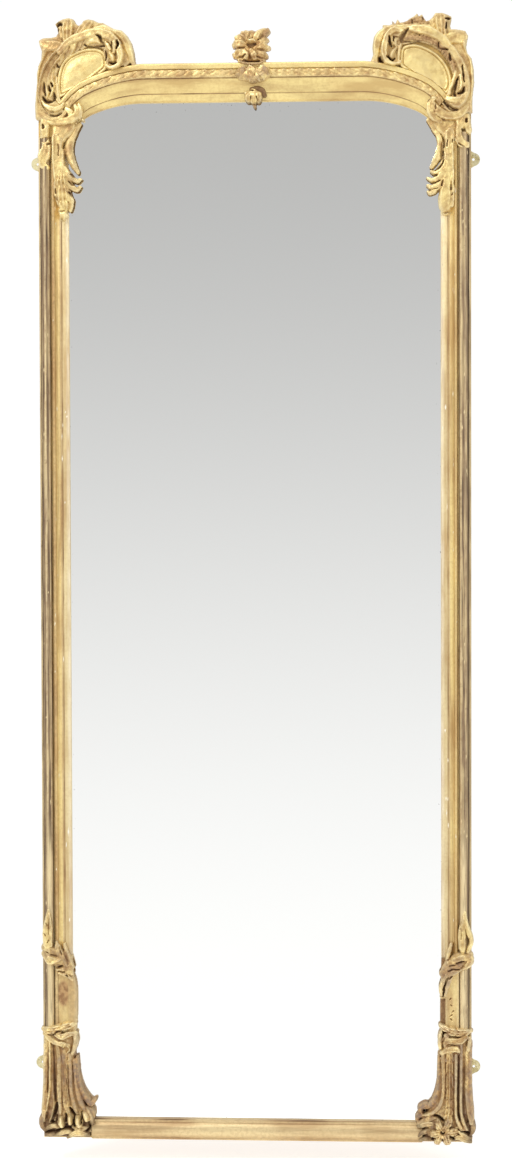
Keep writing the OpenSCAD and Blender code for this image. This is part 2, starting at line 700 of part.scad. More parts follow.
module stile_panel(side) {
  y0 = foot_y + panel_foot;
  color("gold") set_on_wall() both(side) difference() {
    union() {
      translate([edge_x - panel_in + panel_round, y0, carcase_t])
        cube([panel_in - torus_w - panel_round - seat_gap, clasp_y - panel_foot - seat_gap, panel_lift]);
      translate([edge_x - panel_in + panel_round, y0, carcase_t + panel_lift - panel_round])
        rotate([-90, 0, 0]) cylinder(r = panel_round, h = clasp_y - panel_foot - seat_gap);
      translate([edge_x - panel_in, y0, carcase_t + 0.5])
        cube([panel_round + 1, clasp_y - panel_foot - seat_gap, panel_lift - panel_round - 0.5]);
    }
    // sunk flat field
    translate([edge_x - 58, y0 + 42, carcase_t + panel_lift - 3])
      cube([26, clasp_y - panel_foot - 96, 10]);
  }
}
module lower_clasp(side) {
  color("gold") set_on_wall() casting() both(side) difference() {
    at_foot() {
      relief(lower_clasp_line);
      relief(curled_leaf, ROUND);
    }
    taken();
    panel_room();
  }
}
foot_flutes = [
  [[-14, 0.952, 9, 22], [-14, 0.627, 10, 26], [-14, 0.386, 11, 30], [-11, 0.181, 13, 34], [-8, 0.012, 9, 36],
   [-10, -0.12, 7, 28]],
  [[-36, 0.928, 9, 26], [-37, 0.627, 10, 32], [-38, 0.355, 9, 35], [-38, 0.145, 9, 38], [-36, -0.012, 8, 36]],
  [[-52, 0.904, 8, 26], [-53, 0.627, 9, 33], [-56, 0.355, 9, 37], [-62, 0.145, 9, 40], [-66, 0, 8, 38]],
  [[-66, 0.867, 7, 24], [-66, 0.627, 7, 30], [-70, 0.398, 8, 36], [-82, 0.229, 9, 38], [-98, 0.157, 7, 34],
   [-107, 0.199, 3, 22]],
  [[-78, 0.084, 9, 28], [-92, 0.072, 9, 32], [-102, 0.012, 8, 28], [-104, -0.072, 5, 20]]];
foot_core = [[-38, 0.964, 30, 18], [-38, 0.627, 30, 20], [-42, 0.349, 34, 24], [-48, 0.12, 44, 26],
  [-52, -0.096, 48, 24], [-52, -0.229, 42, 18]];
module foot_leaf(side) {
  k = foot_rise / 40;
  color("gold") set_on_wall() casting() both(side) difference() {
    at_foot() scale([1, 1, k]) {
      for (f = foot_flutes) relief(sheathed(f), n = 1, base = 0.2);
      relief(sheathed(foot_core), HOLLOW, 0.2, n = 1);
    }
    taken();
    panel_room();
    linear_extrude(over) translate([edge_x, foot_y]) {
      footprint(lower_clasp_line, seat_gap);
      footprint(curled_leaf, seat_gap);
    }
    toe_room();
  }
}
toes = [[-26, 26, 9], [-43, 36, 9], [-59, 43, 9], [-76, 41, 10], [-91, 47, 8]];
toe_leaves = [
  [[-16, 30, 6, 30], [-26, 18, 8, 34], [-44, 12, 6, 28]],
  [[-44, 24, 6, 34], [-58, 14, 8, 34], [-74, 10, 5, 26]],
  [[-70, 28, 6, 34], [-84, 18, 8, 34], [-98, 12, 5, 24]]];
// low body that joins the toes, over the carcase and the end of the bottom moulding
module toe_base() {
  linear_extrude(20) polygon([[-1, 2], [0, 44], [-20, 60], [-90, 60], [-96, 40], [-96, 2]]);
}
// outline of the end under the flutes, which the toes or the flower fill
module toe_outline(gap = 0) {
  polygon([[20, -10], [20, 30 - gap], [-20, toe_top - gap], [-62, toe_top + 8 - gap], [-100, 40 - gap],
    [-130, 20 - gap], [-130, -10]]);
}
module toe_room() {
  translate([edge_x, foot_y - 1, carcase_t]) linear_extrude(over) toe_outline();
}
module foot_end() {
  intersection() {
    translate([edge_x, foot_y - 1, carcase_t + seat_gap]) linear_extrude(over) toe_outline(0.1);
    children();
  }
}
module foot_toes_left() {
  color("gold") set_on_wall() casting() both(-1) foot_end() difference() {
    at_foot() {
      for (t = toes) knob(t[0], t[1], t[2], 42);
      for (f = toe_leaves) relief(f, n = 1);
      relief([[-6, 40, 8, 30], [-8, 24, 10, 32], [-16, 12, 8, 24]], n = 1);
      toe_base();
    }
    taken();
  }
}
flower = [-56, 32];
petal_count = 5;
module foot_flower_right() {
  color("gold") set_on_wall() casting() foot_end() difference() {
    at_foot() {
      for (i = [0:petal_count - 1]) let (a = 90 + i * 360 / petal_count)
        relief([for (q = [[4, 4, 34], [12, 10, 44], [20, 9, 40], [26, 4, 28]])
          [flower[0] + q[0] * cos(a), flower[1] + q[0] * sin(a), q[1], q[2]]], n = 1);
      knob(flower[0], flower[1], 6, 46);
      relief([[-80, 40, 6, 34], [-96, 36, 7, 34], [-110, 24, 4, 24]], n = 1);
      relief([[-80, 24, 6, 30], [-94, 18, 7, 30], [-106, 10, 4, 22]], n = 1);
      relief([[-6, 44, 8, 30], [-6, 24, 9, 32], [-16, 10, 8, 24]], n = 1);
      toe_base();
    }
    taken();
  }
}

// ---- centre ornament ----

shell_c = [-2, 31];
shell_back = 7;
peg_in = 30;
peg_out = 26;
module shell_form() {
  k = shell_rise / 36;
  translate([0, top_y, shell_back]) scale([1, 1, k]) {
    for (i = [0:shell_lobes - 1]) let (a = -40 + i * 260 / (shell_lobes - 1))
      relief([for (q = [[7, 4, 30], [20, 9.5, 32], [31, 11, 26], [38, 5, 14]])
        [shell_c[0] + q[0] * cos(a), shell_c[1] + q[0] * sin(a), q[1], q[2]]], n = 1);
    relief([[-24, 6, 6, 26], [-2, 3, 8, 34], [19, 6, 6, 26]], ROUND);
    relief([[-2, 4, 15, 26], [-2, 34, 13, 26]], ROUND, n = 1);
    knob(shell_c[0], shell_c[1] + 3, 9, 38);
  }
}
module centre_shell() {
  color("goldenrod") set_on_wall() casting() difference() {
    shell_form();
    translate([-100, top_y - 60, -1]) cube([200, 60 + seat_gap, carcase_t + fillet_lift + 1 + seat_gap]);
    translate([0, top_y - 10, carcase_t / 2]) rotate([-90, 0, 0])
      cylinder(r = peg_r + 0.1, h = peg_out + 11, $fn = 24);
  }
}
module shell_peg() {
  color("tan") set_on_wall() translate([0, top_y - peg_in, carcase_t / 2]) rotate([-90, 0, 0])
    cylinder(r = peg_r, h = peg_in + peg_out, $fn = 32);
}
clasp_leaves = [
  [[-30, -18, 5, 26], [-16, -24, 9, 32], [2, -28, 11, 36], [20, -24, 9, 32], [34, -17, 5, 26]],
  [[-22, -14, 5, 27], [-10, -24, 7, 34], [2, -44, 5, 28]],
  [[26, -14, 5, 27], [14, -24, 7, 34], [2, -44, 5, 28]],
  [[2, -10, 10, 28], [2, -24, 9, 36], [2, -40, 7, 30]]];
drop_end = [
  [[-15, -58, 4, 20], [-6, -66, 8, 27], [2, -72, 9, 28], [12, -66, 8, 27], [22, -58, 4, 20]],
  [[2, -50, 6, 24], [2, -66, 10, 30], [2, -80, 7, 24], [2, -91, 3, 16]]];
module at_middle() { translate([0, top_y, carcase_t]) children(); }
module centre_clasp() {
  color("gold") set_on_wall() casting() difference() {
    at_middle() for (f = clasp_leaves) relief(f);
    middle_taken();
  }
}
module centre_drop() {
  color("gold") set_on_wall() casting() difference() {
    at_middle() for (f = drop_end) relief(f, base = 5);
    middle_taken();
    translate([0, top_y, 0]) linear_extrude(over) for (f = clasp_leaves) footprint(f, seat_gap);
  }
}
// the part of taken() that is near the middle, on both sides of it
module middle_taken() {
  for (s = [-1, 1]) both(s) intersection() {
    taken();
    translate([-over / 2, 0, -over]) cube([over, frame_h, 2 * over]);
  }
}

stile(-1);  // stile_left
stile(1);  // stile_right
rail(open_top, top_y);  // head_rail
rail(foot_y, open_foot);  // bottom_rail
torus(-1);  // torus_left
torus(1);  // torus_right
inner_moulding(-1);  // inner_moulding_left
inner_moulding(1);  // inner_moulding_right
slip(-1);  // slip_left
slip(1);  // slip_right
head_slip();
head_moulding();
head_enrichment(-1);  // head_enrichment_left
head_enrichment(1);  // head_enrichment_right
bottom_moulding();
crest_board(-1);  // crest_board_left
crest_board(1);  // crest_board_right
crest_panel(-1);  // crest_panel_left
crest_panel(1);  // crest_panel_right
crest_scroll(-1);  // crest_scroll_left
crest_scroll(1);  // crest_scroll_right
crest_crown(-1);  // crest_crown_left
crest_crown(1);  // crest_crown_right
corner_scroll(-1);  // corner_scroll_left
corner_scroll(1);  // corner_scroll_right
stile_drop(-1);  // stile_drop_left
stile_drop(1);  // stile_drop_right
torus_leaf_high(-1);  // torus_leaf_top_left
torus_leaf_high(1);  // torus_leaf_top_right
torus_leaf_below(-1);  // torus_leaf_low_left
torus_leaf_below(1);  // torus_leaf_low_right
upper_clasp(-1);  // upper_clasp_left
upper_clasp(1);  // upper_clasp_right
stile_panel(-1);  // stile_panel_left
stile_panel(1);  // stile_panel_right
lower_clasp(-1);  // lower_clasp_left
lower_clasp(1);  // lower_clasp_right
foot_leaf(-1);  // foot_leaf_left
foot_leaf(1);  // foot_leaf_right
foot_toes_left();
foot_flower_right();
centre_shell();
centre_clasp();
centre_drop();
shell_peg();
mirror_glass();
glass_blocks();
backboard(0);  // backboard_1
backboard(1);  // backboard_2
backboard(2);  // backboard_3
backboard(3);  // backboard_4
backboard(4);  // backboard_5
backboard(5);  // backboard_6
backboard_screws();
wall_plate(-1, 1);  // wall_plate_top_left
wall_plate(1, 1);  // wall_plate_top_right
wall_plate(-1, -1);  // wall_plate_bottom_left
wall_plate(1, -1);  // wall_plate_bottom_right
wall_plate_screws();
crest_screws();
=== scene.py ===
"""Looks of the pier mirror: gilded mouldings, carved crests and feet, plate glass and a pine back.

Lengths are millimetres in the wall's own axes until a mesh is made: x to the right, z up and
out from the wall towards the room. A mesh point is then (x, -out, z) in metres.
"""
import math
import bpy
import numpy as np
from mathutils import Matrix, Vector


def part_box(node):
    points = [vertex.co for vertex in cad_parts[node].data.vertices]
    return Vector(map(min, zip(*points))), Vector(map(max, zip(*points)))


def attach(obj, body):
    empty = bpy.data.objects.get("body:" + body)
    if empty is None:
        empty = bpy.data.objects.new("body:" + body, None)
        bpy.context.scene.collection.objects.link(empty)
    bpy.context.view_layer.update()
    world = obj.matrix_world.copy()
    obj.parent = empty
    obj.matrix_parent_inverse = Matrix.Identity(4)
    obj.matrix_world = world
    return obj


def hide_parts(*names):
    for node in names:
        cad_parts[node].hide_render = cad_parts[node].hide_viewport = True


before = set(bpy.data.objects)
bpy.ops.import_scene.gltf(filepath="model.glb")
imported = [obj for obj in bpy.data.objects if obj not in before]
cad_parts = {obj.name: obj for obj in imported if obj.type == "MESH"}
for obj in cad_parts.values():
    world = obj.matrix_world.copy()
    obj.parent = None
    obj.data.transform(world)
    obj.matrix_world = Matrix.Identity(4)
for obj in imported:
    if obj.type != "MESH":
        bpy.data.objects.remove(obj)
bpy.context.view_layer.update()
MM = 0.001

# ---- sizes taken from the frame ----

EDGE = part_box("stile_right")[1].x / MM
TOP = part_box("head_rail")[1].z / MM
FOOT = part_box("bottom_rail")[0].z / MM
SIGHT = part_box("slip_right")[0].x / MM
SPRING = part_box("slip_right")[1].z / MM
CARCASE = -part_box("stile_right")[0].y / MM
SIGHT_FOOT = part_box("bottom_moulding")[1].z / MM
SIDES = (("left", -1), ("right", 1))
# The head: its breadth above the sight, the radii of the two arcs of each top corner of the sight,
# the angle where they meet, the angle where the head's moulding starts, and its slip's breadth.
HEAD_BREADTH = 77
CORNER_R = 80
SHOULDER_R = 260
CORNER_TURN = 67
HEAD_START = 46
SLIP_W = 18
CORNER_X = SIGHT - CORNER_R
SHOULDER_X = CORNER_X - (SHOULDER_R - CORNER_R) * math.cos(math.radians(CORNER_TURN))
SHOULDER_Z = TOP - HEAD_BREADTH - SHOULDER_R
# longest step along a moulding's profile, depth of a chip, and the least angle, in degrees, that
# stays sharp on a moulded and on a carved piece
PROFILE_STEP = 1.1
CHIP_DEPTH = 0.6
MOULDED_SHARP, CARVED_SHARP = 35, 75


# ---- arrays and curves ----

def smooth_path(points, n=9):
    """Curve through the rows of points, n samples a span: a Catmull-Rom cubic, whose slope at
    each row is half the step between its neighbours."""
    p = np.asarray(points, float)
    q = np.vstack([2 * p[0] - p[1], p, 2 * p[-1] - p[-2]])
    t = np.arange(n)[:, None] / n
    spans = [0.5 * (2 * b + (c - a) * t + (2 * a - 5 * b + 4 * c - d) * t ** 2
                    + (3 * b - a - 3 * c + d) * t ** 3)
             for a, b, c, d in zip(q, q[1:], q[2:], q[3:])]
    return np.vstack(spans + [p[-1:]])


def unevenness(shape, scale, seed):
    """Soft random field from -1 to 1: a coarse table of random numbers, scale cells apart,
    blended with the cubic 3t^2 - 2t^3 between its entries."""
    rng = np.random.default_rng(seed)
    table = rng.uniform(-1, 1, (int(shape[0] / scale[0]) + 3, int(shape[1] / scale[1]) + 3))
    u = np.arange(shape[0]) / scale[0]
    v = np.arange(shape[1]) / scale[1]
    i, j = u.astype(int), v.astype(int)
    f, g = (u - i)[:, None], (v - j)[None, :]
    f, g = f * f * (3 - 2 * f), g * g * (3 - 2 * g)
    low = table[np.ix_(i, j)] * (1 - f) + table[np.ix_(i + 1, j)] * f
    high = table[np.ix_(i, j + 1)] * (1 - f) + table[np.ix_(i + 1, j + 1)] * f
    return low * (1 - g) + high * g


def hand_work(shape, coarse, fine, seed, fine_seed):
    """The unevenness that hand tools leave: a coarse field and half as much of a finer one."""
    return unevenness(shape, coarse, seed) + 0.5 * unevenness(shape, fine, fine_seed)


def soften(field, reach):
    """Mean over a square of 2 reach + 1 cells, taken twice, by running sums along each axis."""
    for axis in (0, 1, 0, 1):
        rows = np.moveaxis(field, axis, 0)
        rows = np.vstack([np.repeat(rows[:1], reach + 1, 0), rows, np.repeat(rows[-1:], reach, 0)])
        total = np.cumsum(rows, 0)
        field = np.moveaxis((total[2 * reach + 1:] - total[:-2 * reach - 1]) / (2 * reach + 1), 0, axis)
    return field


def ramp(value, low, high):
    """0 below low, 1 above high and 3t^2 - 2t^3 between."""
    t = np.clip((value - low) / (high - low), 0, 1)
    return t * t * (3 - 2 * t)


# ---- meshes ----

def put_piece(name, points, quads, notes, material, angle):
    """Mesh of the quads over points (x, z, out), turned so that its faces point outwards: six
    times the volume inside is the sum of a . (b x c) + a . (c x d) over the quads. It takes the
    place of the CAD node of its own name."""
    points = np.stack([points[:, 0], -points[:, 2], points[:, 1]], 1) * MM
    a, b, c, d = (points[quads[:, k]] for k in range(4))
    sixfold = np.einsum("ij,ij->i", a, np.cross(b, c)) + np.einsum("ij,ij->i", a, np.cross(c, d))
    if sixfold.sum() < 0:
        quads = quads[:, ::-1]
    mesh = bpy.data.meshes.new(name)
    mesh.vertices.add(len(points))
    mesh.vertices.foreach_set("co", points.astype(np.float32).ravel())
    mesh.loops.add(quads.size)
    mesh.loops.foreach_set("vertex_index", quads.astype(np.int32).ravel())
    mesh.polygons.add(len(quads))
    mesh.polygons.foreach_set("loop_start", np.arange(0, quads.size, 4, dtype=np.int32))
    mesh.update(calc_edges=True)
    mesh.validate()
    for key, values in notes.items():
        layer = mesh.attributes.new(key, "FLOAT", "POINT")
        layer.data.foreach_set("value", np.asarray(values, np.float32).ravel())
    mesh.polygons.foreach_set("use_smooth", np.ones(len(mesh.polygons), bool))
    mesh.set_sharp_from_angle(angle=math.radians(angle))
    piece = bpy.data.objects.new(name, mesh)
    bpy.context.scene.collection.objects.link(piece)
    mesh.materials.append(material)
    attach(piece, "root")
    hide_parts(name)


def swept(name, rings, notes, material):
    """Closed sweep of rings (n, m, 3): quads between neighbouring rings, and each end closed by
    quads that pair the ring's first points with its last ones."""
    n, m = rings.shape[:2]
    i, j = np.meshgrid(np.arange(n - 1), np.arange(m), indexing="ij")
    k = (j + 1) % m
    sides = np.stack([i * m + j, i * m + k, (i + 1) * m + k, (i + 1) * m + j], -1).reshape(-1, 4)
    h = np.arange(m // 2 - 1)
    cap = np.stack([h, m - 1 - h, m - 2 - h, h + 1], 1)
    quads = np.vstack([sides, cap, (n - 1) * m + cap[:, ::-1]])
    put_piece(name, rings.reshape(-1, 3), quads, notes, material, MOULDED_SHARP)


def dense(profile):
    """The profile with points no more than PROFILE_STEP apart, and an even number of them. Its
    first and last points are the two ends of the flat back."""
    p = np.asarray(profile, float)
    runs = []
    for a, b in zip(p, p[1:]):
        n = max(int(np.ceil(np.hypot(*(b - a)) / PROFILE_STEP)), 1)
        runs.append(a + (b - a) * (np.arange(n) / n)[:, None])
    line = np.vstack(runs + [p[-1:]])
    if len(line) % 2:
        line = np.vstack([line[:1], (line[:1] + line[1:2]) / 2, line[1:]])
    return line


# ---- carved pieces ----

def section(cut, s):
    """Height share across a leaf, s from -1 to 1: a steep rounded wall, times the line that the
    gouge leaves between the two edges. The last line is the plain round of a bead."""
    a = np.abs(s)
    wall = np.sqrt(np.clip(1 - a ** 7, 0, 1))
    if cut == "gouge":
        return wall * (0.76 + 0.24 * a ** 1.6 + 0.13 * np.exp(-(s / 0.16) ** 2))
    if cut == "band":
        return wall * (0.56 + 0.44 * ramp(a, 0.3, 0.9))
    if cut == "flutes":
        return wall * (0.86 + 0.14 * np.abs(np.cos(s * math.pi * 1.5)) ** 0.8)
    if cut == "soft":
        return np.sqrt(np.clip(1 - a ** 5, 0, 1)) * (0.90 + 0.10 * a ** 2)
    if cut == "scoop":
        return wall * (0.45 + 0.55 * a ** 2)
    return np.sqrt(np.clip(1 - a ** 2.5, 0, 1))


class Carving:
    """A carved piece as a height map on a square grid. At each point it holds how far the top
    and the back stand out from the ground, how far inside the outline the point is, and how
    rubbed and how dug out it is, which the finishes paint as wear, dirt and painted shade. The
    hand's unevenness moves what is carved by wx and wy."""

    NO_BACK = 1e3
    FAR_OUT = -9.0

    def __init__(self, low, high, origin, ground, cell=1.0, wobble=1.0):
        self.cell, self.origin, self.ground = cell, origin, ground
        self.x = np.arange(low[0], high[0] + cell, cell)
        self.y = np.arange(low[1], high[1] + cell, cell)
        self.X, self.Y = np.meshgrid(self.x, self.y)
        shape = self.X.shape
        self.top, self.rub, self.pit = np.zeros(shape), np.zeros(shape), np.zeros(shape)
        self.back = np.full(shape, self.NO_BACK)
        self.edge = np.full(shape, self.FAR_OUT)
        self.wx, self.wy = (wobble * (1.1 * unevenness(shape, (8 / cell, 8 / cell), k)
                                      + 0.7 * unevenness(shape, (3.6 / cell, 3.6 / cell), k + 4))
                            for k in (int(abs(low[0] * 7)) + 3, int(abs(low[1] * 5)) + 9))

    def near(self, path, margin):
        """The window of the grid round a path, and for each of its points, moved a little by the
        hand's unevenness, the place along the path from 0 to 1, the signed distance across it, and
        the half width and height there."""
        reach = path[:, 2].max() + margin
        cols = np.flatnonzero((self.x > path[:, 0].min() - reach) & (self.x < path[:, 0].max() + reach))
        rows = np.flatnonzero((self.y > path[:, 1].min() - reach) & (self.y < path[:, 1].max() + reach))
        box = np.ix_(rows, cols)
        gx, gy = self.X[box] + self.wx[box], self.Y[box] + self.wy[box]
        best, k = np.full(gx.shape, 1e9), np.zeros(gx.shape, int)
        for i, (px, py) in enumerate(path[:, :2]):
            gap = (gx - px) ** 2 + (gy - py) ** 2
            closer = gap < best
            best[closer], k[closer] = gap[closer], i
        step = np.gradient(path[:, :2], axis=0)
        length = np.maximum(np.hypot(step[:, 0], step[:, 1]), 1e-6)
        tx, ty = (step[:, 0] / length)[k], (step[:, 1] / length)[k]
        dx, dy = gx - path[k, 0], gy - path[k, 1]
        ahead, across = dx * tx + dy * ty, tx * dy - ty * dx
        place = np.clip(k + np.clip(ahead / length[k], -0.5, 0.5), 0, len(path) - 1)
        past = ((k == 0) & (ahead < 0)) | ((k == len(path) - 1) & (ahead > 0))
        across = np.where(past, np.copysign(np.sqrt(best), across), across)
        index = np.arange(len(path))
        width, height = (np.interp(place, index, path[:, q]) for q in (2, 3))
        return box, place / (len(path) - 1), across, width, height

    def stand(self, box, inside, level, back, rub=0.0):
        """Raises the top to level where inside is above 0, and lets the outline grow with it. The
        leaf that comes out on top there is rubbed by rub, a share that darkens it for wear and, in
        places, painted shade."""
        over = (inside > 0) & (level > self.top[box])
        self.top[box] = np.where(over, level, self.top[box])
        self.rub[box] = np.where(over, rub, self.rub[box])
        reached = inside > -2.5 * self.cell
        self.back[box] = np.where(reached, np.minimum(self.back[box], back), self.back[box])
        self.edge[box] = np.maximum(self.edge[box], np.maximum(inside, self.FAR_OUT))

    def leaf(self, points, cut, back, rub, lobes=0, depth=0.0):
        """A leaf, rib or scroll along points [x, y, half width, height]. Lobes take
        depth (1 - |sin|)^2 of its width, in a phase that runs forward towards the edge."""
        box, t, across, width, height = self.near(smooth_path(points), 4)
        width = np.maximum(width, 0.4)
        a = np.abs(across) / width
        notch = 0 * t
        if lobes:
            notch = 1 - np.abs(np.sin(math.pi * (lobes * t - 0.5 * np.minimum(a, 1.2) + 0.25)))
            width = width * (1 - depth * notch ** 2)
        s = np.clip(across / width, -1, 1)
        share = section(cut, s) * (1 - 0.30 * notch ** 3 * np.minimum(a, 1))
        inside = (1 - np.abs(across) / width) * width
        self.stand(box, inside, back + (height - back) * share, back, rub)

    def strokes(self, rows, back):
        """Leaves given as (cut, rub, points) or (cut, rub, points, lobes, depth)."""
        for cut, rub, points, *lobed in rows:
            self.leaf(points, cut, back, rub, *lobed)
        return self

    def dig(self, points, floor, share=1.0):
        """A cut hollow along points [x, y, half width]: what stands above the floor is drawn down
        to it by share up to 0.4 half widths from the path, then by less, and not at all from 1.5
        half widths on. The pit note, for dirt and painted shade, is stronger in a deeper cut and
        reaches 1.3."""
        box, _, across, width, _ = self.near(smooth_path([(*p, floor) for p in points]), 2)
        a = np.abs(across) / np.maximum(width, 0.4)
        depth = share * np.maximum(self.top[box] - floor, 0)
        self.top[box] -= depth * ramp(1.5 - a, 0, 1.1)
        # dirt and painted shade, deeper in a deeper cut
        dirt_and_shade = ramp(1.3 - a, 0, 1.0) * np.sqrt(np.clip(depth / 12, 0, 1))
        self.pit[box] = np.maximum(self.pit[box], dirt_and_shade)

    def digs(self, rows, share=1.0):
        """Hollows given as (floor, points), cut to a share of their depth."""
        for floor, points in rows:
            self.dig(points, floor, share)
        return self

    def dirt_and_shade_below(self, level, much):
        """Dirt and painted shade on what lies lower than level, in full from 7 mm below it."""
        self.pit = np.maximum(self.pit, much * ramp(level - self.top, 0, 7))

    def inside_of(self, outline):
        """Distance inside a closed outline: the least distance to its sides, positive where a
        line to the left crosses it an odd number of times."""
        p = np.asarray(outline, float)
        best, odd = np.full(self.X.shape, 1e9), np.zeros(self.X.shape, bool)
        for a, b in zip(p, np.roll(p, -1, 0)):
            e = b - a
            t = np.clip(((self.X - a[0]) * e[0] + (self.Y - a[1]) * e[1]) / max(e @ e, 1e-9), 0, 1)
            best = np.minimum(best, np.hypot(self.X - a[0] - t * e[0], self.Y - a[1] - t * e[1]))
            if a[1] != b[1]:
                beside = (a[1] > self.Y) != (b[1] > self.Y)
                odd ^= beside & (self.X < a[0] + (self.Y - a[1]) * e[0] / e[1])
        return np.where(odd, best, -best)

    def plate(self, outline, profile, back, rub=0.0):
        """A field inside a closed outline, whose height is profile(distance inside)."""
        inside = self.inside_of(outline)
        self.stand(np.s_[:, :], inside, profile(inside), back, rub)

    def cast(self, name, material, side, seed, slot="gilt_carving", place=None, rough=0.5):
        """Mesh of the height map, softened once and roughened: the grid's squares that reach inside
        the outline, with their outer corners drawn onto it along the slope of the distance field,
        and a back under them. Hollow and ridge are how far a point lies below and above the mean
        level round it; the finishes lay painted shade on the hollows and a painted highlight on the
        ridges, and painted shade on the foot of the outline's walls and on the underside. Place, if
        given, lays the map on another line."""
        inside = self.edge > 0
        cell = inside[:-1, :-1] | inside[1:, :-1] | inside[:-1, 1:] | inside[1:, 1:]
        used = np.zeros(inside.shape, bool)
        for r in (0, 1):
            for c in (0, 1):
                used[r:used.shape[0] - 1 + r, c:used.shape[1] - 1 + c] |= cell
        top, weight = np.where(inside, self.top, 0), inside.astype(float)
        mean = soften(top * weight, 1) / np.maximum(soften(weight, 1), 1e-6)
        top = np.where(inside, 0.45 * top + 0.55 * mean, 0)
        top = top + rough * hand_work(top.shape, (9, 9), (4, 4), seed, seed + 50)
        back = np.where(self.back == self.NO_BACK, 0, self.back)
        level = np.where(inside, np.maximum(top, back + 0.5), back)
        hollow = np.clip((soften(level, 5) - level) / 7.0, 0, 1)
        hollow = np.maximum(hollow, np.clip((soften(level, 2) - level) / 2.6, 0, 1))
        # painted shade at the foot of the outline's walls
        hollow = np.where(inside, hollow, 0.6)
        ridge = np.clip((level - soften(level, 3)) / 4.0, 0, 1) * inside
        gy, gx = np.gradient(self.edge, self.cell)
        shift = np.clip(-self.edge, 0, 1.3 * self.cell) * (used & ~inside)
        shift = shift / np.maximum(gx ** 2 + gy ** 2, 0.1)
        px, py = self.X + shift * gx, self.Y + shift * gy
        if place is None:
            px, py = side * (self.origin[0] + px), self.origin[1] + py
        else:
            px, py = place(px, py)
        index = np.full(inside.shape, -1)
        index[used] = np.arange(used.sum())
        under = index.copy()
        under[inside] = used.sum() + np.arange(inside.sum())
        upper = np.stack([px[used], py[used], level[used] + self.ground], 1)
        lower = np.stack([px[inside], py[inside], back[inside] + self.ground], 1)
        r, c = np.nonzero(cell)
        corners = ((r, c), (r, c + 1), (r + 1, c + 1), (r + 1, c))
        quads = np.vstack([np.stack([index[q] for q in corners], 1),
                           np.stack([under[q] for q in corners[::-1]], 1)])
        under_side = np.zeros(inside.sum())
        # the underside gets painted shade and half the rub
        notes = {"hollow": np.concatenate([hollow[used], under_side + 0.6]),
                 "ridge": np.concatenate([ridge[used], under_side]),
                 "rub": np.concatenate([soften(self.rub, 1)[used], under_side + 0.5]),
                 "pit": np.concatenate([self.pit[used], under_side])}
        put_piece(name, np.vstack([upper, lower]), quads, notes, material, CARVED_SHARP)


# ---- finishes ----

class Finish:
    """A node material: a Principled surface with short calls that add and join its nodes."""

    def __init__(self, name):
        self.material = bpy.data.materials.new(name)
        self.material.use_nodes = True
        self.tree = self.material.node_tree
        self.surface = self.tree.nodes["Principled BSDF"]
        self.place = self.tree.nodes.new("ShaderNodeTexCoord").outputs["Object"]

    def join(self, value, socket):
        if isinstance(value, bpy.types.NodeSocket):
            self.tree.links.new(value, socket)
        else:
            socket.default_value = value

    def noise(self, scale, detail=4, stretch=(1, 1, 1), rough=0.55, warp=0.0):
        where = self.tree.nodes.new("ShaderNodeMapping")
        self.join(self.place, where.inputs["Vector"])
        where.inputs["Scale"].default_value = stretch
        node = self.tree.nodes.new("ShaderNodeTexNoise")
        self.join(where.outputs[0], node.inputs["Vector"])
        for key, value in (("Scale", scale), ("Detail", detail), ("Roughness", rough), ("Distortion", warp)):
            node.inputs[key].default_value = value
        return node.outputs[0]

    def axis(self, which):
        node = self.tree.nodes.new("ShaderNodeSeparateXYZ")
        self.join(self.place, node.inputs[0])
        return node.outputs[which]

    def note(self, key):
        """A value written on the mesh's points."""
        node = self.tree.nodes.new("ShaderNodeAttribute")
        node.attribute_name = key
        return node.outputs["Fac"]

    def math(self, kind, a, b=0.0, clamp=False):
        node = self.tree.nodes.new("ShaderNodeMath")
        node.operation, node.use_clamp = kind, clamp
        self.join(a, node.inputs[0])
        self.join(b, node.inputs[1])
        return node.outputs[0]

    def span(self, value, low, high, to_low=0.0, to_high=1.0):
        """The value carried smoothly from low and high to to_low and to_high."""
        node = self.tree.nodes.new("ShaderNodeMapRange")
        node.interpolation_type = "SMOOTHSTEP"
        for key, number in zip(("Value", "From Min", "From Max", "To Min", "To Max"),
                               (value, low, high, to_low, to_high)):
            self.join(number, node.inputs[key])
        return node.outputs[0]

    def times(self, a, b, clamp=False):
        return self.math("MULTIPLY", a, b, clamp)

    def plus(self, a, b):
        return self.math("ADD", a, b)

    def most(self, a, b):
        return self.math("MAXIMUM", a, b)

    def mix(self, share, a, b):
        """Colour a with a share of b over it."""
        node = self.tree.nodes.new("ShaderNodeMix")
        node.data_type = "RGBA"
        for key, value in ((0, share), (6, a), (7, b)):
            self.join(tone(value) if isinstance(value, tuple) else value, node.inputs[key])
        return node.outputs[2]

    def shades(self, value, stops):
        """Colours at the places (place, colour) along the value."""
        node = self.tree.nodes.new("ShaderNodeValToRGB")
        self.join(value, node.inputs[0])
        steps = node.color_ramp.elements
        while len(steps) < len(stops):
            steps.new(0.5)
        for step, (place, colour) in zip(steps, stops):
            step.position, step.color = place, tone(colour)
        return node.outputs[0]

    def bump(self, height, depth, strength):
        node = self.tree.nodes.new("ShaderNodeBump")
        node.inputs["Distance"].default_value = depth
        node.inputs["Strength"].default_value = strength
        self.join(height, node.inputs["Height"])
        self.join(node.outputs[0], self.surface.inputs["Normal"])

    def set(self, **sockets):
        for key, value in sockets.items():
            self.join(tone(value) if isinstance(value, tuple) else value,
                      self.surface.inputs[key.replace("_", " ")])
        return self.material


def tone(rgb):
    """A colour given as 0 to 255 screen values, as linear light."""
    c = np.asarray(rgb[:3], float) / 255
    return (*np.where(c <= 0.04045, c / 12.92, ((c + 0.055) / 1.055) ** 2.4).tolist(), 1.0)


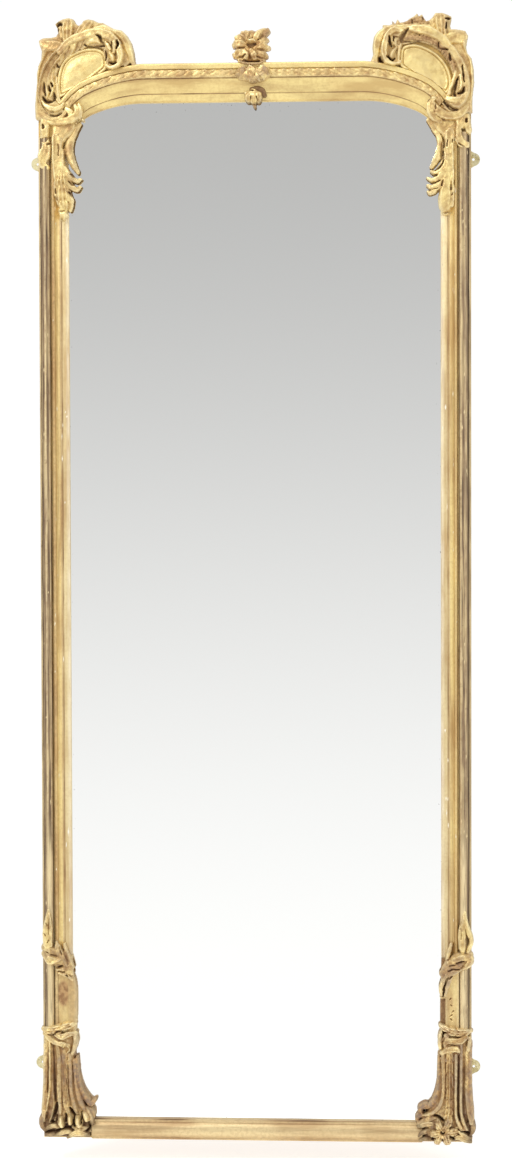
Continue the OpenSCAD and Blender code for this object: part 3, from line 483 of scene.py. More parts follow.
# colours of the gilding, as seen on a screen
LEAF = ((242, 220, 152), (225, 198, 132), (188, 154, 98))
BURNISH_AND_HIGHLIGHT = (250, 234, 184)
BOLE, GESSO = (124, 86, 58), (246, 239, 220)
PATINA, COOL_PATINA = (150, 112, 72), (148, 126, 110)
SMOKE_AND_SHADE, COOL_SMOKE_AND_SHADE, THIN_SMOKE_AND_SHADE = (134, 94, 58), (130, 104, 86), (178, 140, 94)
SHADE, DEEP_SHADE, DIRT_AND_SHADE = (138, 100, 58), (84, 60, 38), (88, 58, 34)


def gilding(name, worn, leaf=LEAF, hollow_shade=1.0, toned=0.34, cool=0.0, along=(1, 1, 1)):
    """Water gilding over bole and gesso: three tones of leaf in clouds and streaks, brown toning
    and a cooler one in patches, painted highlight with some burnish on the ridges, smoke and bole
    where it is rubbed, the smoke also laying painted shade where the rub note carries it,
    painted shade in the hollows, dirt and painted shade in the pits, and gesso in the chips. A
    small share in along draws the clouds and streaks out on that axis."""
    bright, mid, deep = leaf
    f = Finish(name)
    mottle = f.noise(170, 3)
    blend = f.plus(f.times(f.noise(8, 5), 0.45), f.times(f.noise(60, 4, along), 0.55))
    skin = f.shades(blend, ((0.41, deep), (0.485, mid), (0.56, bright)))
    skin = f.mix(f.span(mottle, 0.47, 0.60, 0.0, 0.9 * toned), skin, deep)
    skin = f.mix(f.span(f.noise(34, 5, along, 0.65, 0.5), 0.47, 0.60, 0.0, toned), skin, PATINA)
    skin = f.mix(f.span(f.noise(26, 4, along, 0.6, 0.8), 0.49, 0.60, 0.0, cool), skin, COOL_PATINA)
    # painted highlight, with some burnish, laid on the ridges
    skin = f.mix(f.times(f.note("ridge"), 0.55), skin, BURNISH_AND_HIGHLIGHT)
    # smoke on what is rubbed, which is also painted shade where the rub note marks shade
    smoke_and_shade = f.mix(f.span(f.noise(120, 4), 0.40, 0.62), COOL_SMOKE_AND_SHADE if cool else SMOKE_AND_SHADE, THIN_SMOKE_AND_SHADE)
    skin = f.mix(f.times(f.note("rub"), 0.9, True), skin, smoke_and_shade)
    rub = f.span(f.plus(f.times(f.noise(26, 6, along, 0.65), 0.75), f.times(mottle, 0.25)),
                 0.66 - 0.35 * worn, 0.80 - 0.35 * worn)
    skin = f.mix(f.times(rub, 0.7), skin, BOLE)
    # painted shade in the hollows
    low = f.span(f.note("hollow"), 0.10, 0.95)
    skin = f.mix(f.times(low, 0.85 * hollow_shade, True), skin, SHADE)
    skin = f.mix(f.span(f.note("hollow"), 0.62, 1.0, 0.0, 0.7 * hollow_shade), skin, DEEP_SHADE)
    # dirt and painted shade in the pits
    skin = f.mix(f.times(f.note("pit"), 0.78), skin, DIRT_AND_SHADE)
    skin = f.mix(f.note("chip"), skin, GESSO)
    plain = f.most(f.most(f.times(rub, 0.8), low),
                   f.most(f.note("chip"), f.most(f.note("pit"), f.note("rub"))))
    f.bump(f.plus(f.noise(420, 3), f.times(f.noise(90, 3), 0.8)), 0.0006, 0.5)
    return f.set(Base_Color=skin, Metallic=f.span(plain, 0.0, 1.0, 0.58, 0.0),
                 Roughness=f.span(f.plus(plain, f.times(mottle, 0.3)), 0.0, 1.3, 0.38, 0.78))


def worn_torus():
    """The outer moulding, rubbed to bole and gesso in long broken streaks, with painted highlights, painted
    shade and painted dark reflections along its lines.
    """
    f = Finish("torus_worn")
    streaks = f.plus(f.times(f.noise(250, 4, (1, 1, 0.035), 0.6, 0.3), 0.7),
                     f.times(f.noise(36, 5, (1, 1, 0.25)), 0.3))
    skin = f.shades(streaks, ((0.38, (84, 66, 46)), (0.445, (124, 98, 72)), (0.50, (152, 126, 92)),
                              (0.55, (182, 157, 114)), (0.61, (208, 185, 138))))
    skin = f.mix(f.span(f.noise(90, 5), 0.60, 0.72, 0.0, 0.7), skin, (104, 74, 52))
    # painted highlights in cream along the rub lines, over partly rubbed gesso
    skin = f.mix(f.times(f.note("rub"), 0.85, True), skin,
                 f.mix(f.span(f.noise(80, 5), 0.45, 0.65), (232, 211, 164), (202, 176, 132)))
    # painted shade in the grooves and painted dark reflections along the hollow lines
    skin = f.mix(f.times(f.note("hollow"), 0.92), skin, (78, 58, 36))
    skin = f.mix(f.note("chip"), skin, (224, 203, 156))
    f.bump(f.plus(streaks, f.times(f.noise(300, 4), 0.5)), 0.0011, 0.6)
    return f.set(Base_Color=skin, Metallic=f.span(streaks, 0.5, 0.65, 0.0, 0.35),
                 Roughness=f.span(streaks, 0.4, 0.6, 0.7, 0.48))


def timber(name, along, light, deep, paint=None):
    """Pine with its grain along one axis, ochre on the sides that show, bare at the back."""
    f = Finish(name)
    stretch = tuple(0.045 if q == along else 1.0 for q in range(3))
    grain = f.noise(90, 5, stretch, 0.6, 0.4)
    rings = f.noise(22, 3, stretch, 0.5, 1.2)
    wood = f.shades(f.plus(f.times(grain, 0.45), f.times(rings, 0.55)),
                    ((0.34, deep), (0.50, light), (0.66, tuple(min(c + 18, 255) for c in light))))
    wood = f.mix(f.span(f.noise(5, 4), 0.5, 0.75, 0.0, 0.45), wood, deep)
    rough = f.span(grain, 0.3, 0.7, 0.55, 0.8)
    if paint:
        ragged = f.plus(f.axis(1), f.times(f.math("SUBTRACT", f.noise(40, 4), 0.5), 0.012))
        cover = f.span(ragged, -0.007, -0.003, 1.0, 0.0)
        worn = f.span(f.noise(55, 5), 0.58, 0.68, 1.0, 0.35)
        coat = f.mix(f.span(f.noise(30, 4), 0.35, 0.7), paint, tuple(int(c * 0.86) for c in paint))
        wood = f.mix(f.times(cover, worn), wood, coat)
    f.bump(grain, 0.0008, 0.5)
    return f.set(Base_Color=wood, Roughness=rough)


def metal(name, light, deep, roughness, tarnish):
    """Brushed metal in two tones, with dull spots of tarnish."""
    f = Finish(name)
    cloud = f.noise(70, 5)
    spots = f.span(f.noise(260, 4), 0.55, 0.72)
    skin = f.mix(f.span(cloud, 0.4, 0.65), light, deep)
    skin = f.mix(f.times(spots, 0.7), skin, tarnish)
    f.bump(f.noise(500, 3, (1, 1, 0.15)), 0.0002, 0.5)
    return f.set(Base_Color=skin, Metallic=f.span(spots, 0, 1, 0.95, 0.6),
                 Roughness=f.span(cloud, 0.3, 0.7, roughness, roughness + 0.2))


def plate_glass():
    """Silvered plate: a mirror with a faint haze, and specks in the silver near its edges."""
    f = Finish("silvered_plate")
    haze = f.noise(9, 4)
    speck = f.span(f.noise(240, 2), 0.70, 0.76)
    near_edge = f.most(f.span(f.math("ABSOLUTE", f.axis(0)), 0.357, 0.371),
                       f.span(f.math("ABSOLUTE", f.axis(2)), 0.985, 1.02))
    spots = f.times(speck, near_edge)
    silver = f.mix(spots, (247, 248, 247), (120, 116, 108))
    return f.set(Base_Color=silver, Metallic=1.0, Roughness=f.span(haze, 0.3, 0.7, 0.012, 0.03))


CARVED = gilding("carved_gilding", 0.12)
CLASP_GILT = gilding("clasp_gilding", 0.16, ((246, 224, 156), (228, 198, 134), (180, 144, 92)), 1.1,
                     0.65, 0.4)
CENTRE_GILT = gilding("centre_gilding", 0.26, ((246, 222, 156), (224, 190, 122), (172, 132, 80)), 1.2,
                      0.55)
TOE_GILT = gilding("toe_gilding", 0.22, ((246, 222, 160), (224, 192, 134), (168, 130, 84)), 1.2, 0.45,
                   0.3)
FIELD_GILT = gilding("field_gilding", 0.02, ((236, 214, 148), (229, 205, 138), (212, 184, 118)), 0.9,
                     0.2)
MOULDED = gilding("moulded_gilding", 0.10, ((242, 218, 150), (232, 205, 142), (206, 172, 112)), 1.0,
                  0.3, along=(1, 1, 0.06))
HEAD_GILT = gilding("head_gilding", 0.07, ((237, 215, 147), (228, 203, 138), (205, 175, 115)), 1.0,
                    0.3, along=(0.10, 1, 0.4))
SLIP_GILT = gilding("slip_gilding", 0.14, ((232, 213, 164), (221, 199, 148), (200, 170, 120)), 0.9,
                    0.25, along=(1, 1, 0.05))
RAIL_GILT = gilding("rail_gilding", 0.12, ((222, 200, 152), (211, 186, 140), (190, 162, 118)), 0.9,
                    0.35, along=(0.08, 1, 1))
WORN_GILT = gilding("worn_gilding", 0.20, ((238, 215, 152), (224, 197, 136), (196, 164, 112)), 1.0,
                    0.2, along=(1, 1, 0.2))
FOOT_GILT = gilding("foot_gilding", 0.24, ((244, 217, 150), (210, 175, 114), (146, 110, 70)), 1.2, 0.7,
                    0.7, along=(1, 1, 0.3))
TORUS_WORN = worn_torus()
PINE = timber("carcase_pine", 2, (206, 170, 118), (170, 128, 78), (222, 190, 116))
PINE_RAIL = timber("rail_pine", 0, (206, 170, 118), (170, 128, 78), (222, 190, 116))
BOARD_PINE = timber("backboard_pine", 0, (190, 152, 104), (146, 106, 66))
BLOCK_PINE = timber("block_pine", 2, (196, 160, 112), (150, 112, 70))
BRASS = metal("plate_brass", (228, 219, 178), (196, 184, 138), 0.34, (120, 108, 76))
STEEL = metal("screw_steel", (150, 146, 140), (110, 104, 98), 0.38, (92, 66, 46))
PLATE = plate_glass()


def finish_nodes(material, *names):
    """Puts a finish on CAD nodes that stay as they are."""
    for name in names:
        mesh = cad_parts[name].data
        mesh.materials.clear()
        mesh.materials.append(material)


finish_nodes(PINE, "stile_left", "stile_right", "crest_board_left", "crest_board_right", "shell_peg")
finish_nodes(PINE_RAIL, "head_rail", "bottom_rail")
finish_nodes(BOARD_PINE, *(f"backboard_{k}" for k in range(1, 7)))
finish_nodes(BLOCK_PINE, "glass_blocks")
finish_nodes(BRASS, *(f"wall_plate_{a}_{b}" for a in ("top", "bottom") for b in ("left", "right")))
finish_nodes(STEEL, "wall_plate_screws", "backboard_screws", "crest_screws")
finish_nodes(PLATE, "mirror_glass")


# ---- straight mouldings of the stiles ----

def lined(line, lines, face, broken):
    """How strongly each point of a moulding is marked, for lines (place, reach, strength) along it
    that are broken up by an uneven field."""
    marks = [depth * np.exp(-((line[:, 0] - place) / reach) ** 2) * face for place, reach, depth in lines]
    return np.clip(np.max([0 * face] + marks, axis=0) * broken, 0, 1)


def upright(name, side, profile, material, chips, grooves, rubs_and_painted_light, seed, pale=None, wander=0.25):
    """A moulding carried up a stile: profile rows (distance in from the outer edge, out), moved
    a little in and out by the hand that scraped it, with chips [z, place round it, height, width]
    that drop CHIP_DEPTH to the gesso, dark grooves of painted shade, rubbed lines that also lay
    painted light, and a pale share pale(d, z)."""
    low, high = (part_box(name)[k].z / MM for k in (0, 1))
    line = dense(profile)
    z = np.linspace(low, high, int((high - low) / 3.0) + 1)
    shape = len(z), len(line)
    walk = np.concatenate([[0], np.cumsum(np.hypot(*np.diff(line, axis=0).T))])
    face = ramp(line[:, 1], 2, 6)
    out = line[None, :, 1] + wander * face * hand_work(shape, (11, 5), (3, 2.5), seed, seed + 9)
    chip = np.zeros(shape)
    for chip_z, chip_walk, tall, wide in chips:
        reach = 1 - np.abs(z[:, None] - chip_z) / tall - np.abs(walk[None, :] - chip_walk) / wide
        chip = np.maximum(chip, ramp(reach, 0, 0.25))
    out = out - CHIP_DEPTH * chip * face
    broken = 0.85 + 0.3 * unevenness(shape, (14, 60), seed + 3)
    if pale:
        share = pale(line[None, :, 0], z[:, None]) * (0.8 + 0.5 * unevenness(shape, (9, 4), seed + 5))
        chip = np.maximum(chip, np.clip(share, 0, 1) * face)
    notes = {"hollow": lined(line, grooves, face, broken), "chip": chip,
             "rub": lined(line, rubs_and_painted_light, face, broken)}
    across = side * (EDGE - line[None, :, 0])
    rings = np.stack(np.broadcast_arrays(across, z[:, None], CARCASE + out), -1)
    swept(name, rings, notes, material)


def diamonds(seed, low, high, count, walk, tall, wide):
    """Chips scattered along a moulding from low to high: count of them, with their place round it,
    height and width drawn between pairs of limits."""
    rng = np.random.default_rng(seed)
    return [(rng.uniform(low, high), rng.uniform(*walk), rng.uniform(*tall), rng.uniform(*wide))
            for _ in range(count)]


def round_back(x, y, wide, tall, start, end, n):
    """Points of an ellipse, angles in degrees."""
    a = np.radians(np.linspace(start, end, n))
    return np.stack([x + wide * np.cos(a), y + tall * np.sin(a)], 1).tolist()


# Profiles are rows of (distance in from the outer edge, out from the carcase).
TORUS_LINE = [(1, 0), (1, 9.8), (1.8, 10.9), (4.2, 10.7), (5.0, 9.2), (5.8, 8.8),
              *round_back(14.9, 12, 9.1, 10, 190, -10, 26), (24, 9.0), (24, 0)]
BEAD_LINE = [(24, 0), (24, 8.6), (26.6, 9.0), (27.3, 12), *round_back(30.4, 15.6, 3.0, 4.2, 190, 0, 12),
             (33.8, 14.8), (34.6, 15.2), (36.4, 12.4), (38.6, 10.2), (41, 8.9), (42, 8.6), (42, 0)]
SLIP_LINE = [(42, 0), (42, 8.6), (43.6, 8.5), (44.6, 8.9), (45.2, 10.0), (46.4, 10.1), (47.0, 9.0),
             (50.1, 7.2), (54, 5.8), (57.1, 4.8), (58.2, 5.2), (59.4, 4.4), (60, 3), (60, 0)]

# Lines along the mouldings are (place, reach, strength). The dark lines are painted shade in
# the grooves and, on the torus, painted dark reflections; the torus's cream lines are painted
# highlights over partly rubbed gesso.
TORUS_DARK = {"left": ((8.6, 2.8, 0.6), (18.2, 2.3, 0.5), (24.2, 1.2, 0.5)),
              "right": ((6.8, 1.7, 0.9), (16.2, 2.3, 0.4), (24.0, 1.2, 0.3))}
TORUS_CREAM = {"left": ((14.0, 1.5, 0.85), (21.8, 1.2, 0.8)),
               "right": ((11.6, 2.2, 0.4), (21.0, 2.1, 0.85))}
BEAD_DARK = {"left": ((25.6, 1.3, 0.5), (33.9, 0.7, 0.4)), "right": ((25.6, 1.3, 0.3), (33.9, 0.7, 0.4))}
BEAD_RUBBED = {"left": ((30.2, 3.0, 0.75),), "right": ((30.2, 3.0, 0.25),)}
SLIP_DARK = ((46.2, 1.7, 0.85), (57.4, 0.7, 0.25))
SLIP_RUBBED = ((44.0, 2.0, 0.3),)


def torus_pale(d, z):
    """Toned gesso on the outer ledge, and on the middle of the torus low down."""
    low = ramp(-z, 380, 520) * np.exp(-((d - 17) / 5) ** 2)
    return np.maximum(0.7 * (d < 4.4), 1.2 * low)


def slip_pale(d, z):
    """The edge at the glass is rubbed to a paler cream."""
    return 0.5 * ramp(d, 51, 58) + 0 * z


for (word, side), seed in zip(SIDES, (11, 31)):
    upright("torus_" + word, side, TORUS_LINE, TORUS_WORN,
            diamonds(seed, -830, 950, 34, (19, 40), (2, 7), (0.7, 1.9)),
            TORUS_DARK[word], TORUS_CREAM[word], seed, torus_pale, 0.4)
    upright("inner_moulding_" + word, side, BEAD_LINE, MOULDED,
            diamonds(seed + 1, -680, 950, 14, (20, 34), (2, 6), (0.6, 1.4)),
            BEAD_DARK[word], BEAD_RUBBED[word], seed + 2)
    upright("slip_" + word, side, SLIP_LINE, SLIP_GILT,
            diamonds(seed + 5, -680, 920, 12, (12, 26), (3, 9), (0.8, 2)),
            SLIP_DARK, SLIP_RUBBED, seed + 4, slip_pale)


# ---- the line of the head ----

def spread(e, a):
    """Where the line at e really lies from the sight edge at angle a: the bands narrow evenly to
    HEAD_START, the slip by half and the rest by 18 percent."""
    k = np.where(a < HEAD_START, a / HEAD_START, (90 - a) / (90 - HEAD_START))
    return np.where(e <= SLIP_W, e * (1 - 0.5 * k), SLIP_W * (1 - 0.5 * k) + (e - SLIP_W) * (1 - 0.18 * k))


def head_xy(a, e):
    """Point at angle a of the right half, e outward: the tight arc up to its turn, then the wide one."""
    c, s = np.cos(np.radians(a)), np.sin(np.radians(a))
    tight = a <= CORNER_TURN
    return (np.where(tight, CORNER_X + (CORNER_R + e) * c, SHOULDER_X + (SHOULDER_R + e) * c),
            np.where(tight, SPRING + (CORNER_R + e) * s, SHOULDER_Z + (SHOULDER_R + e) * s))


def head_stations(start, step):
    """Angles and shifts along the flat from the angle start to the middle, about step apart."""
    tight = np.arange(start, CORNER_TURN, math.degrees(step / (CORNER_R + 40)))
    wide = np.linspace(CORNER_TURN, 90, int(math.radians(90 - CORNER_TURN) * (SHOULDER_R + 40) / step))
    flat = np.linspace(0, SHOULDER_X, int(SHOULDER_X / step))[1:]
    return (np.concatenate([tight, wide, np.full(len(flat), 90.0)]),
            np.concatenate([np.zeros(len(tight) + len(wide)), flat]))


def head_run(name, profile, start, grooves, rubs_and_painted_light, seed):
    """A moulding along the whole head: the rows (e, out) at each station of the right half, and
    the same mirrored."""
    line = dense(profile)
    angle, flat = head_stations(start, 2.5)
    x, z = head_xy(angle[:, None], spread(line[None, :, 0], angle[:, None]))
    half = np.stack([x - flat[:, None], z, np.broadcast_to(line[None, :, 1], x.shape)], -1)
    rings = np.concatenate([half, half[-2::-1] * (-1, 1, 1)])
    shape = rings.shape[:2]
    face = ramp(line[:, 1], 2, 6)
    rings[..., 2] += 0.25 * face * hand_work(shape, (12, 5), (4, 2.5), seed, seed + 9)
    rings[..., 2] += CARCASE
    broken = 0.92 + 0.25 * unevenness(shape, (14, 60), seed + 3)
    notes = {"hollow": lined(line, grooves, face, broken), "rub": lined(line, rubs_and_painted_light, face, broken)}
    swept(name, rings, notes, HEAD_GILT)


# Profiles of the head are rows of (distance out from the sight, out from the carcase).
COVE = [(e, 9.6 + 9 * ((e - 19) / 25.4) ** 1.8) for e in np.linspace(19, 44.4, 16)]
HEAD_SLIP_LINE = [(0, 0), (0, 3.4), (1.0, 4.6), (2.2, 4.7), (2.8, 4.2), (4.0, 5.0), (9.9, 6.6), (15.6, 8.6),
                  (16.4, 8.2), (17.2, 8.4), (SLIP_W, 9), (SLIP_W, 0)]
HEAD_LINE = [(SLIP_W, 0), (SLIP_W, 9.2), *COVE, (44.8, 18.2), (45.4, 17.6), (46.2, 18.4), (47.4, 18.6),
             (62.6, 18.6), (63.2, 19.4), (63.8, 22.8), (65.4, 24), (72, 24), (73.6, 23.4), (74.8, 21.4),
             (HEAD_BREADTH, 8), (HEAD_BREADTH, 0)]
# the grooves of both are darkened as painted shade, and the head slip's rub line along the glass is a
# painted shadow line
head_run("head_slip", HEAD_SLIP_LINE, 0, ((2.8, 0.8, 0.4), (16.6, 1.5, 0.95)), ((0.6, 2.0, 0.5),), 51)
head_run("head_moulding", HEAD_LINE, HEAD_START,
         ((24.5, 0.5, 0.25), (31, 0.5, 0.22), (45.4, 1.2, 0.9), (62.4, 0.9, 0.3)),
         ((46.0, 2.2, 0.5), (HEAD_BREADTH, 2.2, 0.3)), 53)

STRIP_MIDDLE = 54.6
STRIP_FLOOR = 18.8


def head_enrichment(side, word):
    """The running leaf strip, carved flat in (along, across) and laid on the line of the head. Its
    ground is cut first, then a large leaf, a curling one under it and a small one over it for each
    17 mm, with a hollow beside the large one and one more where it is worn."""
    angle, flat = head_stations(HEAD_START, 1.0)
    x, z = head_xy(angle, spread(np.full(len(angle), STRIP_MIDDLE), angle))
    length = np.concatenate([[0], np.cumsum(np.hypot(np.diff(x - flat), np.diff(z)))])
    end = np.interp(33.0, (x - flat)[::-1], length[::-1])
    strip = Carving((-3, -12), (end + 3, 12), (0, 0), CARCASE, 0.9, 0.35)
    rng = np.random.default_rng(70 + side)
    strip.leaf([(0, 0, 8.0, 20.0), (end / 2, 0, 8.0, 20.0), (end, 0, 8.0, 20.0)], "soft", STRIP_FLOOR, 0.3)
    for u in np.arange(9, end - 6, 17.0):
        w, lift, worn = rng.uniform(0.85, 1.15), rng.uniform(-1.0, 1.0), rng.uniform(0, 0.5)
        strip.strokes([
            ("gouge", worn, [(u - 9, -3.5, 1.8, 21), (u - 3, -0.5 + lift, 3.8 * w, 22.8),
                             (u + 4, 2.6, 3.8 * w, 22.6), (u + 9, 4.2, 2.0, 21)]),
            ("soft", 0.3, [(u + 9, -5.6, 1.8, 20.6), (u + 3, -4.6, 3.0 * w, 22.2),
                           (u - 3, -5.8, 1.8, 20.8)]),
            ("soft", worn, [(u - 9, 5.4, 1.6, 20.8), (u - 3, 5.8, 2.2, 22.0), (u + 1, 6.6, 1.4, 20.6)])],
            STRIP_FLOOR)
        strip.dig([(u + 2, -2.2, 0.5), (u + 6, -0.8 + lift, 0.9)], 20.0)
        if worn > 0.3:
            strip.dig([(u - 7, 2.2, 0.6), (u - 4, 3.6, 0.9)], 20.0)

    def along(u, v):
        u = np.clip(u, 0, end)
        a, shift = np.interp(u, length, angle), np.interp(u, length, flat)
        px, pz = head_xy(a, spread(STRIP_MIDDLE + v, a))
        return side * (px - shift), pz
    strip.cast("head_enrichment_" + word, CARVED, side, 71, place=along, rough=0.15)


def bottom_moulding():
    """The cushion between two fillets on the bottom rail, carried from foot to foot."""
    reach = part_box("bottom_moulding")[1].x / MM
    line = dense([(0, 0), (0, 9), (1.2, 10.6), (6.0, 10.8), (6.8, 10.2),
                  *round_back(22.2, 3.6, 17.4, 13, 147, 33, 22),
                  (38.2, 10.3), (39, 10.8), (40, 10.6), (41, 9.4), (41, 0)])
    x = np.linspace(-reach, reach, int(reach / 1.5))
    shape = len(x), len(line)
    face = ramp(line[:, 1], 2, 6)
    out = line[None, :, 1] + 0.3 * face * hand_work(shape, (12, 5), (4, 2.5), 61, 62)
    broken = 0.85 + 0.5 * unevenness(shape, (18, 8), 63)
    # a painted shadow line along the glass at 0.8, painted shade in the two grooves, a greyer upper fillet,
    # and painted shade on the lower part of the cushion, away from the light above
    notes = {"hollow": lined(line, ((0.8, 1.6, 1.0), (7.0, 1.2, 0.5), (38.0, 1.6, 0.5)), face, broken),
             "rub": lined(line, ((4.5, 3.0, 0.3), (36, 5, 0.35)), face, broken)}
    rings = np.stack(np.broadcast_arrays(x[:, None], SIGHT_FOOT - line[None, :, 0], CARCASE + out), -1)
    swept("bottom_moulding", rings, notes, RAIL_GILT)


for word, side in SIDES:
    head_enrichment(side, word)
bottom_moulding()


# ---- crests at the top corners ----

def corner(low, high):
    """A grid from low to high whose origin is the corner of the frame, x inward negative."""
    return Carving(low, high, (EDGE, TOP), CARCASE, 1.0, 0.75)


def edged(low, high, reach):
    """Height inside an outline that rounds off from low at the edge to high at reach."""
    def height(d):
        return low + (high - low) * np.sqrt(np.clip(1 - (1 - np.clip(d, 0, reach) / reach) ** 2, 0, 1))
    return height
